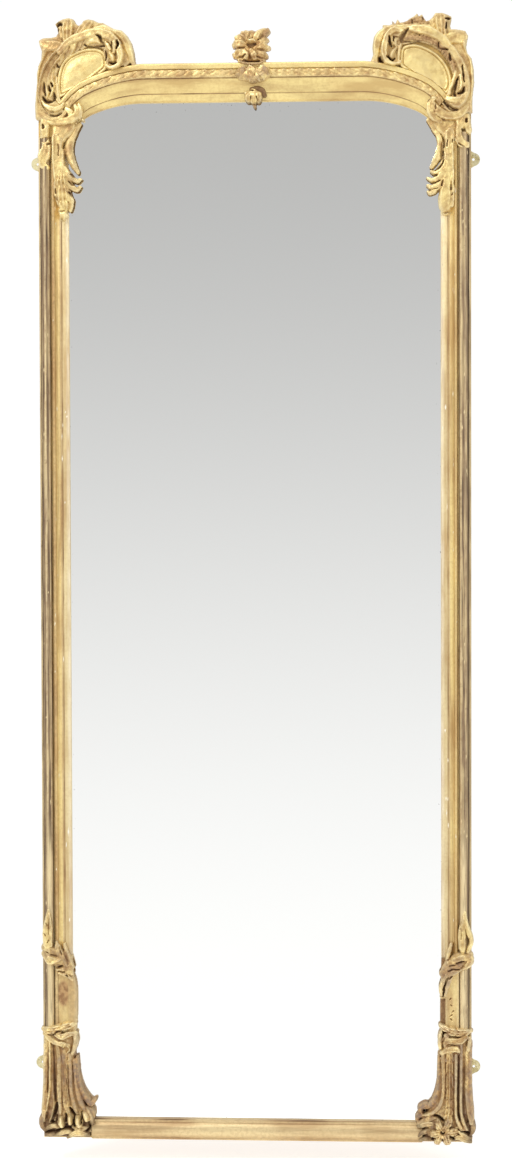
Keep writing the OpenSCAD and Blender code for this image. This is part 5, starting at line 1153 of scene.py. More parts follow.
# Points are (x, y) from the foot of the stile's outer edge, x inward negative. Each entry holds how
# far its back stands from the carcase, its strokes and its hollows.
LOWER = {
    "torus_leaf_low": {
        "left": (17.1, [
            ("soft", 0.05, [(-14, 462, 3, 24), (-14, 446, 7, 29), (-12, 428, 9, 32), (-11, 410, 9, 32),
                (-12, 392, 8, 30), (-13, 383, 5, 26)]),
            ("gouge", 0.2, [(-18, 440, 3, 27), (-19, 424, 4, 32), (-18, 408, 4, 33), (-19, 392, 4, 30)])],
            [(19, [(-9, 437, 1), (-12, 432, 1.3)]), (19, [(-6, 416, 1.2), (-9, 411, 1.3)]),
            (19, [(-15, 403, 1.3), (-12, 397, 1)]), (20, [(-16, 446, 0.8), (-15, 430, 1),
            (-15, 414, 0.8)])]),
        "right": (13.0, [
            ("soft", 0.0, [(-13, 464, 3, 24), (-14, 450, 6, 28), (-10, 434, 6, 31), (-4, 418, 6, 32),
                (-1, 406, 5, 31), (-4, 394, 5, 29), (-8, 384, 4, 26)]),
            ("soft", 0.15, [(-16, 444, 5, 28), (-17, 426, 7, 32), (-18, 408, 8, 33), (-18, 390, 7, 31),
                (-18, 381, 4, 26)]),
            ("gouge", 0.4, [(-22, 436, 2.4, 26), (-24, 420, 3, 29), (-24, 404, 3, 29), (-23, 390, 3, 27)])],
            [(15, [(-6, 412, 0.8), (-6.5, 406, 1.7), (-6, 399, 0.8)]), (19, [(-12, 430, 0.8),
            (-11, 418, 1), (-11, 404, 0.8)]), (20, [(-21, 432, 0.8), (-21, 410, 1)])])},
    "upper_clasp": {
        "left": (8.0, [
            ("soft", 0.5, [(-6, 386, 8, 25), (-22, 374, 15, 27), (-38, 357, 16, 26), (-53, 340, 10, 23)]),
            ("flutes", 0.5, [(-30, 397, 4, 26), (-34, 382, 8, 29), (-42, 367, 8, 29), (-52, 350, 7, 27),
                (-60, 336, 4, 22)], 5, 0.2),
            ("soft", 0.0, [(-3, 374, 5, 22), (-12, 367, 8, 31), (-24, 362, 8, 32), (-36, 360, 7, 31),
                (-46, 354, 5, 28)]),
            ("round", 0.0, [(-8, 361, 3, 27), (-16, 356, 4, 32), (-26, 358, 3.4, 34), (-36, 362, 3, 33),
                (-44, 367, 2.4, 28)]),
            ("gouge", 0.15, [(-30, 343, 3, 26), (-42, 345, 5, 30), (-52, 341, 6, 30), (-60, 334, 4, 25)]),
            ("soft", 0.3, [(-34, 336, 3, 24), (-44, 334, 5, 28), (-54, 328, 4, 26), (-61, 321, 3, 20)]),
            ("soft", 0.15, [(-5, 390, 5, 24), (-12, 383, 7, 30), (-14, 374, 6, 29)]),
            ("gouge", 0.35, [(-46, 394, 3, 24), (-49, 379, 5, 27), (-55, 362, 5, 27), (-61, 347, 4, 24)])],
            [(9, [(-23, 350, 1), (-29, 348, 2), (-36, 348.6, 2), (-42, 351, 1)]), (15, [(-38, 338, 0.9),
            (-46, 338.6, 1.3)]), (13, [(-50, 331, 1.8), (-53, 328, 1.2)]), (19, [(-20, 372, 1.1),
            (-30, 370, 1.4)]), (17, [(-9, 379, 1.1), (-13, 377, 1.3)]), (19, [(-36, 388, 0.9),
            (-40, 374, 1.2)]), (19, [(-47, 372, 0.9), (-54, 354, 1.2)])]),
        "right": (8.0, [
            ("soft", 0.55, [(-8, 376, 10, 26), (-24, 368, 16, 28), (-40, 354, 16, 27), (-54, 338, 10, 24)]),
            ("soft", 0.0, [(-2, 379, 5, 24), (-3, 366, 8, 32), (-10, 357, 7, 33), (-16, 352, 4, 28)]),
            ("soft", 0.1, [(-8, 374, 7, 31), (-20, 373, 8, 34), (-34, 368, 7, 32), (-46, 362, 5, 28)]),
            ("gouge", 0.75, [(-24, 358, 6, 30), (-38, 355, 8, 31), (-50, 350, 7, 29), (-60, 342, 4, 22)]),
            ("gouge", 0.25, [(-22, 349, 4, 28), (-34, 344, 6, 31), (-46, 340, 6, 29), (-56, 330, 5, 25)]),
            ("soft", 0.1, [(-50, 338, 5, 28), (-57, 324, 5, 29), (-61, 310, 4, 28), (-60, 297, 3, 22)]),
            ("gouge", 0.4, [(-40, 336, 4, 27), (-46, 321, 5, 29), (-50, 306, 4, 28), (-52, 296, 3, 22)]),
            ("soft", 0.3, [(-40, 400, 3, 22), (-44, 386, 5, 25), (-48, 372, 4, 26)])],
            [(13, [(-9, 382, 0.9), (-20, 384, 1.4), (-34, 381, 0.9)]), (16, [(-15, 366, 0.9),
            (-24, 364, 1.5), (-31, 361, 0.9)]), (13, [(-24, 349, 0.9), (-36, 350, 1.3),
            (-47, 346, 0.9)]), (9, [(-50, 328, 1), (-54, 314, 1.7), (-56, 303, 1.2)]),
            (14, [(-38, 336, 1.1), (-45, 330, 1)]), (17, [(-32, 358, 0.8), (-44, 357, 1.1)])])},
    "lower_clasp": {
        "left": (0.5, [
            ("flutes", 0.05, [(-3, 222, 6, 22), (-14, 221, 9, 29), (-30, 223, 10, 31), (-46, 228, 9, 30),
                (-60, 232, 7, 27), (-67, 233, 3, 20)], 4, 0.2),
            ("soft", 0.1, [(-6, 213, 6, 24), (-15, 205, 8, 29), (-24, 197, 6, 29)]),
            ("gouge", 0.05, [(-28, 213, 6, 30), (-41, 208, 7, 32), (-54, 213, 6, 31), (-67, 214, 4, 26)]),
            ("gouge", 0.1, [(-22, 201, 4, 28), (-30, 195, 5, 31), (-40, 193, 6, 31), (-53, 190, 5, 30)]),
            ("soft", 0.3, [(-64, 216, 3, 26), (-67, 203, 5, 29), (-65, 189, 5, 30), (-61, 175, 4, 28),
                (-58, 167, 3, 24)]),
            ("round", 0.0, [(-42, 186, 2.4, 29), (-47, 190.5, 2.4, 32), (-54, 188, 2.4, 32),
                (-56, 181, 2.4, 30), (-51, 176, 2.4, 28)]),
            ("soft", 0.9, [(-44, 177, 4, 26), (-50, 170, 5, 27), (-56, 164, 4, 25)])],
            [(11, [(-48, 183, 2.6), (-50.5, 182, 2.8)]), (16, [(-12, 213, 0.9), (-22, 212, 1.4),
            (-30, 218, 1.3), (-41, 220, 0.9)]), (18, [(-19, 208, 0.9), (-25, 204, 1.3)]),
            (18, [(-34, 201, 0.9), (-44, 200, 1.2), (-58, 200, 0.9)]), (19, [(-50, 220, 0.8),
            (-58, 222, 1.1)])]),
        "right": (0.5, [
            ("flutes", 0.0, [(-2, 226, 5, 22), (-14, 224, 9, 29), (-30, 224, 10, 31), (-46, 228, 9, 30),
                (-62, 236, 5, 24)], 4, 0.22),
            ("soft", 0.05, [(-60, 224, 4, 26), (-63, 207, 5, 29), (-62, 192, 4, 28)]),
            ("gouge", 0.1, [(-50, 216, 6, 30), (-53, 204, 6, 31), (-50, 195, 5, 30)]),
            ("gouge", 0.1, [(-12, 214, 6, 27), (-22, 207, 8, 31), (-38, 206, 8, 32), (-50, 208, 6, 31)]),
            ("soft", 0.0, [(-23, 186, 5, 29), (-34, 191, 8, 32), (-48, 189, 8, 32), (-59, 182, 5, 28)]),
            ("soft", 0.15, [(-4, 213, 4, 24), (-5, 200, 5, 26), (-8, 187, 4, 26)]),
            ("soft", 0.9, [(-34, 172, 6, 26), (-46, 168, 7, 27), (-58, 171, 5, 26)])],
            [(15, [(-29, 177, 1), (-40, 179, 1.5), (-50, 178, 1.8), (-59, 174, 1.2)]),
            (13, [(-18, 197, 1.2), (-20, 190, 1.8), (-21, 182, 1.2)]), (18, [(-59, 221, 1),
            (-55, 212, 1.5), (-58, 204, 1)]), (20, [(-26, 199, 0.8), (-38, 199, 1.1), (-48, 198, 0.8)]),
            (19, [(-14, 219, 0.8), (-28, 215, 1.1), (-42, 216, 0.8)])])},
    "foot_leaf": {
        "left": (0.3, [
            ("soft", 0.45, [(-36, 204, 30, 22), (-37, 150, 31, 26), (-41, 104, 34, 29), (-47, 66, 42, 31),
                (-51, 44, 46, 27)]),
            ("soft", 0.15, [(-7, 204, 6, 22), (-8, 180, 7, 24), (-8, 147, 8, 26), (-8, 110, 8, 28),
                (-6, 76, 8, 30), (-3, 52, 6, 31), (-2, 38, 4, 29)]),
            ("round", 0.0, [(-15, 200, 4, 26), (-16, 172, 4, 29), (-16, 140, 4, 30), (-16, 110, 4, 31),
                (-13, 84, 4, 33), (-9, 60, 3, 33)]),
            ("soft", 0.0, [(-30, 192, 5, 27), (-34, 164, 6, 31), (-35, 130, 6, 34), (-35, 100, 6, 36),
                (-37, 76, 5, 37), (-37, 58, 4, 37), (-37, 48, 3, 32)]),
            ("round", 0.0, [(-24, 90, 2, 30), (-24, 70, 2.6, 33), (-20, 50, 2.6, 34), (-14, 36, 2, 32)]),
            ("gouge", 0.35, [(-44, 178, 5, 29), (-44, 140, 6, 32), (-45, 100, 6, 35), (-48, 74, 6, 37),
                (-52, 60, 5, 37), (-54, 52, 3, 32)]),
            ("soft", 0.55, [(-55, 172, 5, 29), (-57, 140, 5, 32), (-58, 113, 5, 34), (-61, 87, 5, 36),
                (-67, 66, 5, 37), (-71, 54, 3, 33)]),
            ("soft", 0.85, [(-64, 160, 4, 27), (-67, 130, 4, 31), (-70, 105, 5, 34), (-77, 80, 6, 36),
                (-83, 67, 5, 36), (-87, 60, 3, 33)]),
            ("soft", 1.0, [(-69, 166, 3, 22), (-71, 130, 4, 26), (-77, 103, 5, 29), (-87, 84, 6, 31),
                (-97, 74, 6, 32), (-105, 79, 4, 27)]),
            ("round", 0.2, [(-50, 170, 1.4, 29), (-51, 130, 1.6, 33), (-52, 96, 1.6, 36),
                (-56, 68, 1.6, 38)]),
            ("gouge", 0.8, [(-84, 66, 5, 30), (-94, 62, 6, 31), (-100, 52, 6, 28), (-99, 40, 4, 22)])],
            [(17, [(-22, 194, 1), (-24, 160, 1.5), (-25, 125, 2.2), (-26, 98, 2.4), (-28, 80, 1.6)]),
            (10, [(-30, 76, 1.6), (-29, 66, 3), (-25, 52, 3), (-21, 40, 1.6)]), (27, [(-39, 178, 0.9),
            (-39.5, 130, 1.2), (-40.5, 90, 1.2), (-42, 62, 1.4), (-41, 50, 1.8)]),
            (29, [(-54, 150, 0.7), (-53, 112, 0.9), (-57, 76, 1.1)]), (26, [(-61, 160, 0.9),
            (-62, 120, 1.2), (-65, 94, 1.3), (-73, 70, 1.5), (-80, 56, 1.8)]), (25, [(-68, 154, 0.8),
            (-71, 118, 1), (-79, 93, 1.2), (-89, 75, 1.3), (-96, 66, 1.6)]), (9, [(-56, 66, 1.6),
            (-61, 57, 3.2), (-66, 50, 2)]), (20, [(-11, 190, 0.6), (-12, 140, 0.9), (-11, 96, 0.7)]),
            (6, [(-20, 36, 3), (-40, 27, 5), (-60, 29, 6), (-80, 35, 6), (-95, 42, 3)]),
            (13, [(-48, 54, 1.2), (-48, 38, 3)]), (13, [(-65, 52, 1.4), (-65, 38, 3)]),
            (15, [(-80, 58, 1), (-81, 44, 2)]), (15, [(-30, 52, 1), (-29, 38, 2.4)])]),
        "right": (0.3, [
            ("soft", 0.4, [(-35, 204, 30, 21), (-36, 150, 31, 25), (-40, 104, 34, 28), (-46, 66, 42, 30),
                (-51, 44, 46, 27)]),
            ("round", 0.8, [(-3, 202, 5, 21), (-4, 160, 5, 23), (-4, 105, 6, 26), (-1, 65, 6, 29),
                (1, 42, 5, 29)]),
            ("soft", 0.1, [(-9, 194, 4, 25), (-10, 150, 4.6, 28), (-10, 105, 5, 30), (-7, 69, 5, 33),
                (-2, 44, 5, 34)]),
            ("soft", 0.15, [(-20, 198, 4, 25), (-21, 150, 4.4, 30), (-22, 105, 4.4, 32),
                (-22, 70, 4.4, 34), (-17, 46, 5, 36), (-10, 28, 5, 34)]),
            ("soft", 0.0, [(-31, 178, 4.4, 28), (-31, 130, 5, 33), (-32, 85, 4.4, 36), (-30, 56, 5, 39),
                (-24, 38, 5, 38), (-14, 24, 4, 34)]),
            ("flutes", 0.25, [(-44, 192, 8, 26), (-44, 150, 9, 30), (-44, 100, 10, 32), (-45, 70, 11, 34),
                (-48, 50, 12, 34)], 7, 0.12),
            ("soft", 0.25, [(-57, 178, 5, 28), (-56, 140, 5, 32), (-57, 105, 4.4, 35), (-63, 80, 5, 37),
                (-75, 66, 5, 37), (-88, 60, 4, 34), (-97, 58, 3, 28)]),
            ("soft", 0.9, [(-65, 178, 3, 20), (-65, 140, 4, 24), (-67, 110, 4, 27), (-73, 90, 5, 29),
                (-82, 78, 5, 29), (-91, 72, 4, 26)]),
            ("round", 1.0, [(-84, 76, 4, 24), (-93, 76, 6, 27), (-102, 69, 6, 25), (-98, 60, 4, 22)]),
            ("round", 1.0, [(-94, 54, 4, 22), (-103, 56, 6, 25), (-108, 48, 5, 22), (-102, 42, 4, 20)]),
            ("gouge", 0.3, [(-70, 56, 4, 34), (-84, 52, 6, 36), (-98, 46, 5, 32), (-106, 40, 3, 24)])],
            [(20, [(-15, 184, 1), (-15, 140, 1.6), (-16, 100, 1.9), (-16, 66, 1.8), (-12, 46, 1.3)]),
            (18, [(-26, 178, 1.1), (-26.5, 140, 1.7), (-27, 100, 2), (-27, 66, 2), (-24, 50, 1.4)]),
            (28, [(-36, 164, 0.9), (-36.5, 110, 1.2), (-37, 70, 1.3)]), (27, [(-52, 166, 0.9),
            (-51.5, 120, 1.2), (-53, 88, 1.3), (-59, 70, 1.3)]), (24, [(-61, 170, 0.9), (-61, 120, 1.2),
            (-65, 93, 1.4), (-76, 76, 1.2)]), (11, [(-74, 58, 1.4), (-66, 56, 2.6), (-56, 48, 2.4)]),
            (12, [(-94, 66, 1.6), (-96, 62, 1.8)]), (30, [(-44, 150, 0.5), (-42, 132, 0.9),
            (-45, 112, 0.6)]), (31, [(-47, 100, 0.5), (-43, 84, 1), (-47, 66, 0.6)])])},
    "foot_toes": {
        "left": (0.3, [
            ("soft", 0.75, [(-6, 58, 5, 28), (1, 43, 6, 31), (1, 29, 6, 30), (-5, 17, 4, 26)]),
            ("round", 0.0, [(-38, 45, 7, 43), (-39, 37, 10, 46), (-40, 31, 8, 43)]),
            ("round", 0.1, [(-56, 48, 6, 42), (-57, 42, 8, 44), (-57, 36, 6, 41)]),
            ("round", 0.0, [(-72, 46, 7, 44), (-74, 38, 10, 46), (-75, 32, 8, 43)]),
            ("round", 0.0, [(-86, 56, 6, 43), (-89, 49, 8, 45), (-90, 43, 6, 42)]),
            ("soft", 0.6, [(-90, 66, 4, 30), (-94, 56, 5, 34), (-98, 44, 6, 33), (-100, 32, 4, 26)]),
            ("gouge", 0.0, [(-4, 18, 3, 24), (-14, 26, 5, 31), (-26, 29, 5, 34), (-38, 21, 3, 30)]),
            ("gouge", 0.15, [(-26, 9, 3, 28), (-36, 13, 5, 34), (-48, 18, 6, 36), (-60, 13, 4, 32)]),
            ("gouge", 0.05, [(-50, 4, 3, 26), (-58, 9, 5, 33), (-68, 15, 7, 36), (-83, 13, 6, 35),
                (-92, 8, 3, 26)]),
            ("gouge", 0.2, [(-62, 27, 4, 32), (-74, 24, 6, 36), (-88, 24, 5, 33), (-96, 18, 3, 26)]),
            ("soft", 0.5, [(-22, 12, 4, 28), (-14, 9, 5, 30), (-6, 11, 4, 26)])],
            [(10, [(-12, 38, 1.6), (-20, 36, 2.4), (-26, 40, 1.6)]), (10, [(-45, 44, 1.4),
            (-47, 34, 2.4), (-46, 26, 1.6)]), (11, [(-63, 46, 1.4), (-64, 36, 2.2), (-65, 29, 1.6)]),
            (12, [(-78, 44, 0.9), (-79, 36, 1.4)]), (9, [(-28, 18, 1.8), (-42, 24, 2.4), (-56, 24, 2)]),
            (8, [(-22, 4, 2), (-30, 5, 2.4), (-44, 6, 2)]), (8, [(-88, 18, 2), (-94, 24, 2.6),
            (-95, 32, 1.6)]), (10, [(-6, 15, 1.4), (-16, 17, 1.8), (-24, 18, 1.2)])])},
    "foot_flower": {
        "right": (0.3, [
            ("soft", 0.75, [(-6, 58, 5, 28), (1, 43, 6, 31), (2, 29, 6, 30), (-3, 20, 4, 26)]),
            ("flutes", 0.1, [(-58, 28, 5, 35), (-62, 34, 8, 42), (-66, 41, 9, 41),
                (-68, 48, 6, 32)], 3, 0.2),
            ("flutes", 0.55, [(-56, 28, 5, 35), (-50, 38, 8, 42), (-45, 47, 9, 41),
                (-42, 54, 6, 32)], 3, 0.2),
            ("flutes", 0.3, [(-54, 26, 5, 35), (-44, 27, 9, 42), (-35, 27, 10, 40),
                (-27, 26, 6, 30)], 3, 0.2),
            ("flutes", 0.2, [(-55, 24, 5, 35), (-51, 14, 9, 42), (-48, 5, 9, 38), (-47, 0, 5, 30)], 3, 0.2),
            ("flutes", 0.05, [(-60, 24, 5, 35), (-65, 15, 9, 42), (-68, 7, 9, 39),
                (-70, 1, 5, 30)], 3, 0.2),
            ("flutes", 0.15, [(-61, 26, 5, 35), (-70, 24, 9, 42), (-78, 22, 9, 39),
                (-84, 21, 5, 30)], 3, 0.2),
            ("round", 0.4, [(-58.5, 26, 5, 41), (-57.5, 26, 5, 41)]),
            ("gouge", 0.05, [(-72, 40, 4, 32), (-84, 42, 6, 36), (-98, 38, 6, 33), (-107, 34, 3, 24)]),
            ("gouge", 0.4, [(-82, 28, 4, 30), (-92, 26, 6, 33), (-101, 20, 4, 28), (-105, 14, 3, 22)]),
            ("gouge", 0.1, [(-82, 10, 4, 26), (-92, 10, 5, 28), (-102, 6, 4, 22)]),
            ("gouge", 0.0, [(-40, 12, 4, 32), (-26, 15, 6, 36), (-12, 9, 6, 33), (-2, 4, 3, 24)]),
            ("gouge", 0.0, [(-30, 34, 4, 34), (-20, 24, 5, 37), (-8, 14, 4, 32), (-1, 12, 3, 26)])],
            [(20, [(-61, 27, 1), (-58, 24, 1.6), (-55, 26, 1)]), (12, [(-57, 40, 1.2), (-56, 47, 2.2)]),
            (12, [(-40, 36, 1.2), (-35, 39, 2.2)]), (12, [(-42, 17, 1.2), (-36, 12, 2.2)]),
            (12, [(-58, 12, 1.2), (-58, 4, 2)]), (12, [(-72, 15, 1.2), (-78, 10, 2.2)]),
            (12, [(-72, 32, 1.2), (-78, 33, 2.2)]), (10, [(-26, 32, 1.4), (-16, 28, 2), (-6, 22, 1.4)]),
            (9, [(-90, 34, 1.6), (-98, 30, 2.2)]), (8, [(-30, 5, 2), (-18, 3, 2), (-10, 2, 1.4)])])}}


TOES = ("foot_toes", "foot_flower")
# share of their depth that the hollows of a kind are cut, where it isn't HOLLOW_SHARE
SHALLOW = {"torus_leaf_low": 0.35, "upper_clasp": 0.55, "lower_clasp": 0.6}
HOLLOW_SHARE = 0.9


def foot_of(low, high, wobble=0.35):
    """A grid from low to high whose origin is the foot of the stile's outer edge, x inward
    negative."""
    return Carving(low, high, (EDGE, FOOT), CARCASE, 1.0, wobble)


def lower_piece(kind, side, word, low, high, material):
    """One of the carved pieces of the lower end, from its strokes and hollows. The toes stand on a
    field of their own, rubbed dark as painted shade, and are darkened below 31 mm with dirt and
    painted shade."""
    back, strokes, hollows = LOWER[kind][word]
    c = foot_of(low, high, 0.7 if "clasp" in kind else 0.3)
    if kind in TOES:
        # a low field rubbed dark: painted shade under the toes
        c.plate([(-1, 3), (0, 44), (-20, 50), (-88, 50), (-95, 40), (-95, 3)], edged(0, 19, 6), back, 0.9)
    c.strokes(strokes, back).digs(hollows, SHALLOW.get(kind, HOLLOW_SHARE))
    if kind in TOES:
        c.dirt_and_shade_below(31, 0.85)
    seed = 140 + 10 * list(LOWER).index(kind) + side
    c.cast(f"{kind}_{word}", material, side, seed, rough=1.3)


def left_panel(c, whole, y0, y1):
    """A bellied block with two beads and two grooves, a sunk field rubbed round the place (-43, 294)
    and a small boss in it."""
    c.plate(whole, edged(11, 18, 5), 0.2, 0.55)
    c.strokes([("round", 0.0, [(-29, y0, 3, 18), (-29, y1, 3, 18)]),
               ("round", 0.3, [(-55, y0, 2, 18.6), (-54, y1, 2, 18.6)])], 0.2)
    c.digs([(13, [(-25.5, y0 + 8, 0.8), (-25.5, y1 - 8, 0.8)]),
            (16, [(-33, y0 + 20, 0.6), (-33, y1 - 20, 0.6)])])
    field = c.inside_of([(-53, y0), (-52, y1), (-32, y1), (-32, y0)])
    worn = np.hypot((c.X + 43) / 13, (c.Y - 294) / 25)
    c.top -= 2.0 * ramp(field, 0, 2)
    c.rub = np.where(field > 0, np.maximum(0.12, ramp(1.3 - worn, 0, 0.5)), c.rub)
    c.top += 1.2 * ramp(1 - np.hypot((c.X + 42) / 6, (c.Y - 254) / 9), 0, 0.6)


def right_panel(c, whole, y0, y1):
    """A low ground darkened with painted shade, with a narrower block on it, two beads, a short bar
    across and five pocks, each (x, y, turn of its cut)."""
    c.plate(whole, edged(5, 8, 3), 0.2, 1.0)
    # painted shade on the low ground, taken off everything above 9 mm
    c.pit[:] = 0.55
    c.plate([(-24, y0), (-24, y1), (-52, y1), (-52.5, y0)], edged(12, 17, 3), 0.2, 0.1)
    c.strokes([("round", 0.35, [(-26.5, y0, 2, 17.6), (-26.5, y1, 2, 17.6)]),
               ("round", 0.0, [(-50, y0, 2, 18), (-50, y1, 2, 18)]),
               ("soft", 0.0, [(-53, 292, 2.4, 17), (-61, 291, 2.4, 15)])], 0.2)
    c.pit = np.where(c.top > 9, 0, c.pit)
    for x, y, turn in ((-42, 289, 1.6), (-40, 276, -1), (-37.5, 264, 1.4), (-41, 256, 2), (-40, 248, -1.4)):
        c.dig([(x - turn, y - 1.6, 0.8), (x + turn, y + 1.6, 1.3)], 13)


def stile_panel(side, word):
    """The block between the clasps: on the left a bellied one with a rubbed field, on the right a
    narrower one with five pocks and a low strip along the glass darkened with painted shade."""
    c = foot_of((-74, 211), (-23, 371))
    low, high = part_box("stile_panel_" + word)
    outer, inner = (pick(abs(low.x), abs(high.x)) / MM - EDGE for pick in (min, max))
    y0, y1 = low.z / MM - FOOT, high.z / MM - FOOT
    if side < 0:
        belly = [(outer + 6, y0), (outer + 4, 228), (outer + 2.4, 262), (outer + 2.4, 298), (outer + 5, 320),
                 (-61, 340), (-60, y1)]
    else:
        belly = [(-62, y0), (-62.5, 260), (-62, 300), (-61, 330), (-60, y1)]
    whole = [(inner, y0), (inner, y1), *smooth_path(belly, 6).tolist()[::-1]]
    fill = left_panel if side < 0 else right_panel
    fill(c, whole, y0, y1)
    c.cast("stile_panel_" + word, WORN_GILT, side, 160 + side, "worn_gilt", rough=0.4)


# ---- the middle of the head ----

ROSETTE = [
    ("soft", 0.35, [(-1, -22, 22, 29), (-2, -4, 30, 30), (0, 12, 25, 29)]),
    ("soft", 0.0, [(8, 8, 6, 31), (12, 19, 10, 36), (17, 29, 9, 35), (25, 36, 5, 30)]),
    ("soft", 0.9, [(18, 20, 6, 28), (25, 28, 7, 32), (32, 35, 5, 28)]),
    ("gouge", 0.3, [(-2, 12, 5, 31), (-6, 22, 10, 35), (-13, 28, 9, 31), (-17, 31, 5, 26)]),
    ("gouge", 0.1, [(-7, 10, 6, 31), (-17, 17, 10, 35), (-24, 21, 9, 31), (-28, 22, 5, 26)]),
    ("soft", 0.1, [(-9, 5, 6, 31), (-20, 8, 10, 35), (-30, 8, 9, 31), (-34, 7, 5, 26)]),
    ("soft", 0.0, [(-9, -4, 7, 31), (-20, -9, 11, 36), (-29, -12, 10, 32), (-33, -13, 6, 26)]),
    ("gouge", 0.05, [(-6, -10, 7, 32), (-13, -19, 10, 36), (-20, -26, 9, 33), (-23, -31, 5, 28)]),
    ("gouge", 0.45, [(10, 8, 6, 31), (19, 13, 9, 34), (27, 17, 8, 31), (30, 18, 5, 26)]),
    ("soft", 0.2, [(10, 2, 6, 31), (19, 3, 10, 35), (28, 2, 9, 31), (32, 1, 5, 26)]),
    ("gouge", 0.5, [(9, -6, 6, 31), (18, -11, 9, 35), (26, -14, 8, 31), (29, -15, 5, 26)]),
    ("gouge", 0.55, [(8, -13, 6, 32), (14, -21, 9, 35), (21, -27, 8, 32), (23, -31, 5, 28)]),
    ("round", 0.0, [(-6, 16, 3, 35), (-2, 13, 5, 39), (6, 13, 5, 38), (10, 8, 3, 35)]),
    ("soft", 0.0, [(1, -6, 7, 36), (5, -13, 9, 40), (7, -21, 7, 37)]),
    ("soft", 0.1, [(-12, -4, 5, 34), (-9, -13, 7, 38), (-11, -22, 6, 35)]),
    ("round", 0.7, [(-22, -30, 4, 46), (-12, -33.5, 5, 49), (2, -34.5, 5, 50), (16, -33.5, 5, 49),
        (24, -30, 4, 46)])]
ROSETTE_HOLLOWS = [(20, [(-6, 7, 2), (0, 5, 4.4), (8, 6, 2.4)]), (27, [(17, 21, 2.4), (26, 30, 4),
    (33, 37, 3)]), (18, [(-13, -26, 1.2), (-3, -28.5, 2.2), (8, -28, 2.4), (16, -25, 1.2)]),
    (24, [(-12, 1, 1.3), (-26, -1, 1.8)]), (24, [(-11, -14, 1.2), (-25, -20, 1.8)]),
    (25, [(-10, 13, 1.2), (-22, 22, 1.8)]), (22, [(14, 15, 1.6), (24, 23, 2.6)]), (24, [(13, -3, 1.4),
    (27, -6, 2)]), (24, [(12, -17, 1.4), (23, -21, 2)]), (24, [(-6, 20, 1), (-2, 30, 1.8)])]


# Husks of the clasp as (x, y, lean, rubbed share).
HUSKS = ((-21, -20, -2, 0.5), (-14, -27, 1.6, 0.1), (-9, -18, -1.5, 0.0), (-3, -30, -1.2, 0.15),
         (2, -19, 1.8, 0.0), (8, -31, 2.0, 0.1), (13, -20, -1.6, 0.0), (19, -28, 1.4, 0.2),
         (25, -19, 2.0, 0.5))


def centre_pieces():
    """The rosette on the rail, the leafy clasp under it and the small drop before the glass."""
    shell = Carving((-41, -42), (43, 43), (-4, TOP + 28.5), 7)
    shell.strokes(ROSETTE, 0.2).digs(ROSETTE_HOLLOWS, 0.7)
    shell.cast("centre_shell", CENTRE_GILT, 1, 201, rough=0.6)
    clasp = Carving((-44, -50), (46, -5), (0, TOP), CARCASE, 0.8, 0.6)
    clasp.plate([(-24, -9), (-33, -16), (-36, -26), (-28, -37), (-12, -39), (-2, -44), (12, -41),
                 (26, -38), (38, -28), (35, -16), (30, -9)], edged(17, 32, 12), 12.2, 0.2)
    clasp.strokes([("gouge", rub, [(x - 2.2 * lean, y + 9, 2.6, 33), (x, y, 4.8, 38),
                                   (x + 2.6 * lean, y - 9, 2.2, 33)]) for x, y, lean, rub in HUSKS], 12.2)
    clasp.digs([(28, [(-17, -14, 0.6), (-14, -20, 0.9)]), (28, [(5, -23, 0.6), (4, -29, 0.9)]),
                (28, [(14, -30, 0.6), (16, -36, 0.9)]),
                (30, [(-28, -14, 1), (-27, -28, 1.4), (-20, -36, 0.8)]),
                (30, [(32, -14, 1), (31, -27, 1.4), (26, -35, 0.8)])], 0.6)
    clasp.cast("centre_clasp", CLASP_GILT, 1, 202, rough=0.6)
    drop = Carving((-22, -92), (30, -44), (0, TOP), CARCASE, 0.8, 0.6)
    # the first, low leaf is fully rubbed and, with all below 21 mm, darkened: a dark patch of painted shade
    # on the cove behind the drop
    drop.strokes([("soft", 1.0, [(-2, -54, 6, 14), (7, -55, 9, 16), (16, -58, 9, 16), (22, -65, 5, 13)]),
                  ("soft", 0.1, [(-13, -62, 5, 20), (-6, -63, 7, 27), (3, -64, 8, 29), (12, -65, 6, 26)]),
                  ("gouge", 0.0, [(1, -60, 8, 27), (2, -68, 11, 31), (1, -77, 8, 26), (2, -82, 4, 20)]),
                  ("soft", 0.2, [(-5, -64, 7, 27), (-10, -70, 7, 26), (-9, -77, 5, 20)]),
                  ("soft", 0.35, [(7, -66, 7, 27), (12, -70, 7, 26), (10, -77, 5, 20)]),
                  ("round", 1.0, [(2, -83, 3, 22), (3, -88, 3.4, 22), (3, -91, 2, 18)])], 5.2)
    drop.digs([(18, [(-4, -68, 0.8), (-6, -76, 1.2)]), (18, [(7, -69, 0.8), (9, -76, 1.2)]),
               (15, [(-8, -56, 1), (0, -57, 1.4)]), (14, [(0, -84, 0.9), (5, -85, 0.9)])], 0.8)
    drop.dirt_and_shade_below(21, 0.8)
    drop.cast("centre_drop", CARVED, 1, 203, rough=0.6)


for word, side in SIDES:
    for build in (reserve, crest_scroll, crest_crown, corner_scroll, stile_drop, torus_leaf_top,
                  stile_panel):
        build(side, word)
    lower_piece("torus_leaf_low", side, word, (-28, 374), (8, 468), CARVED)
    lower_piece("upper_clasp", side, word, (-68, 288), (6, 404), CLASP_GILT)
    lower_piece("lower_clasp", side, word, (-74, 158), (4, 244), CLASP_GILT)
    lower_piece("foot_leaf", side, word, (-114, 30), (9, 210), FOOT_GILT)
lower_piece("foot_toes", -1, "left", (-108, 1), (9, 70), TOE_GILT)
lower_piece("foot_flower", 1, "right", (-112, 1), (9, 66), TOE_GILT)
centre_pieces()


# ---- studio ----

FLOOR_Z = -1.1
ROOM_LIGHT = 1.10
SEEN_WHITE = 1.02
# (share of the way up, grey) of the room that the plate mirrors, eased by 3t^2 - 2t^3 between them
ROOM_STEPS = ((0.275, 255), (0.67, 183), (0.80, 194), (0.95, 238))
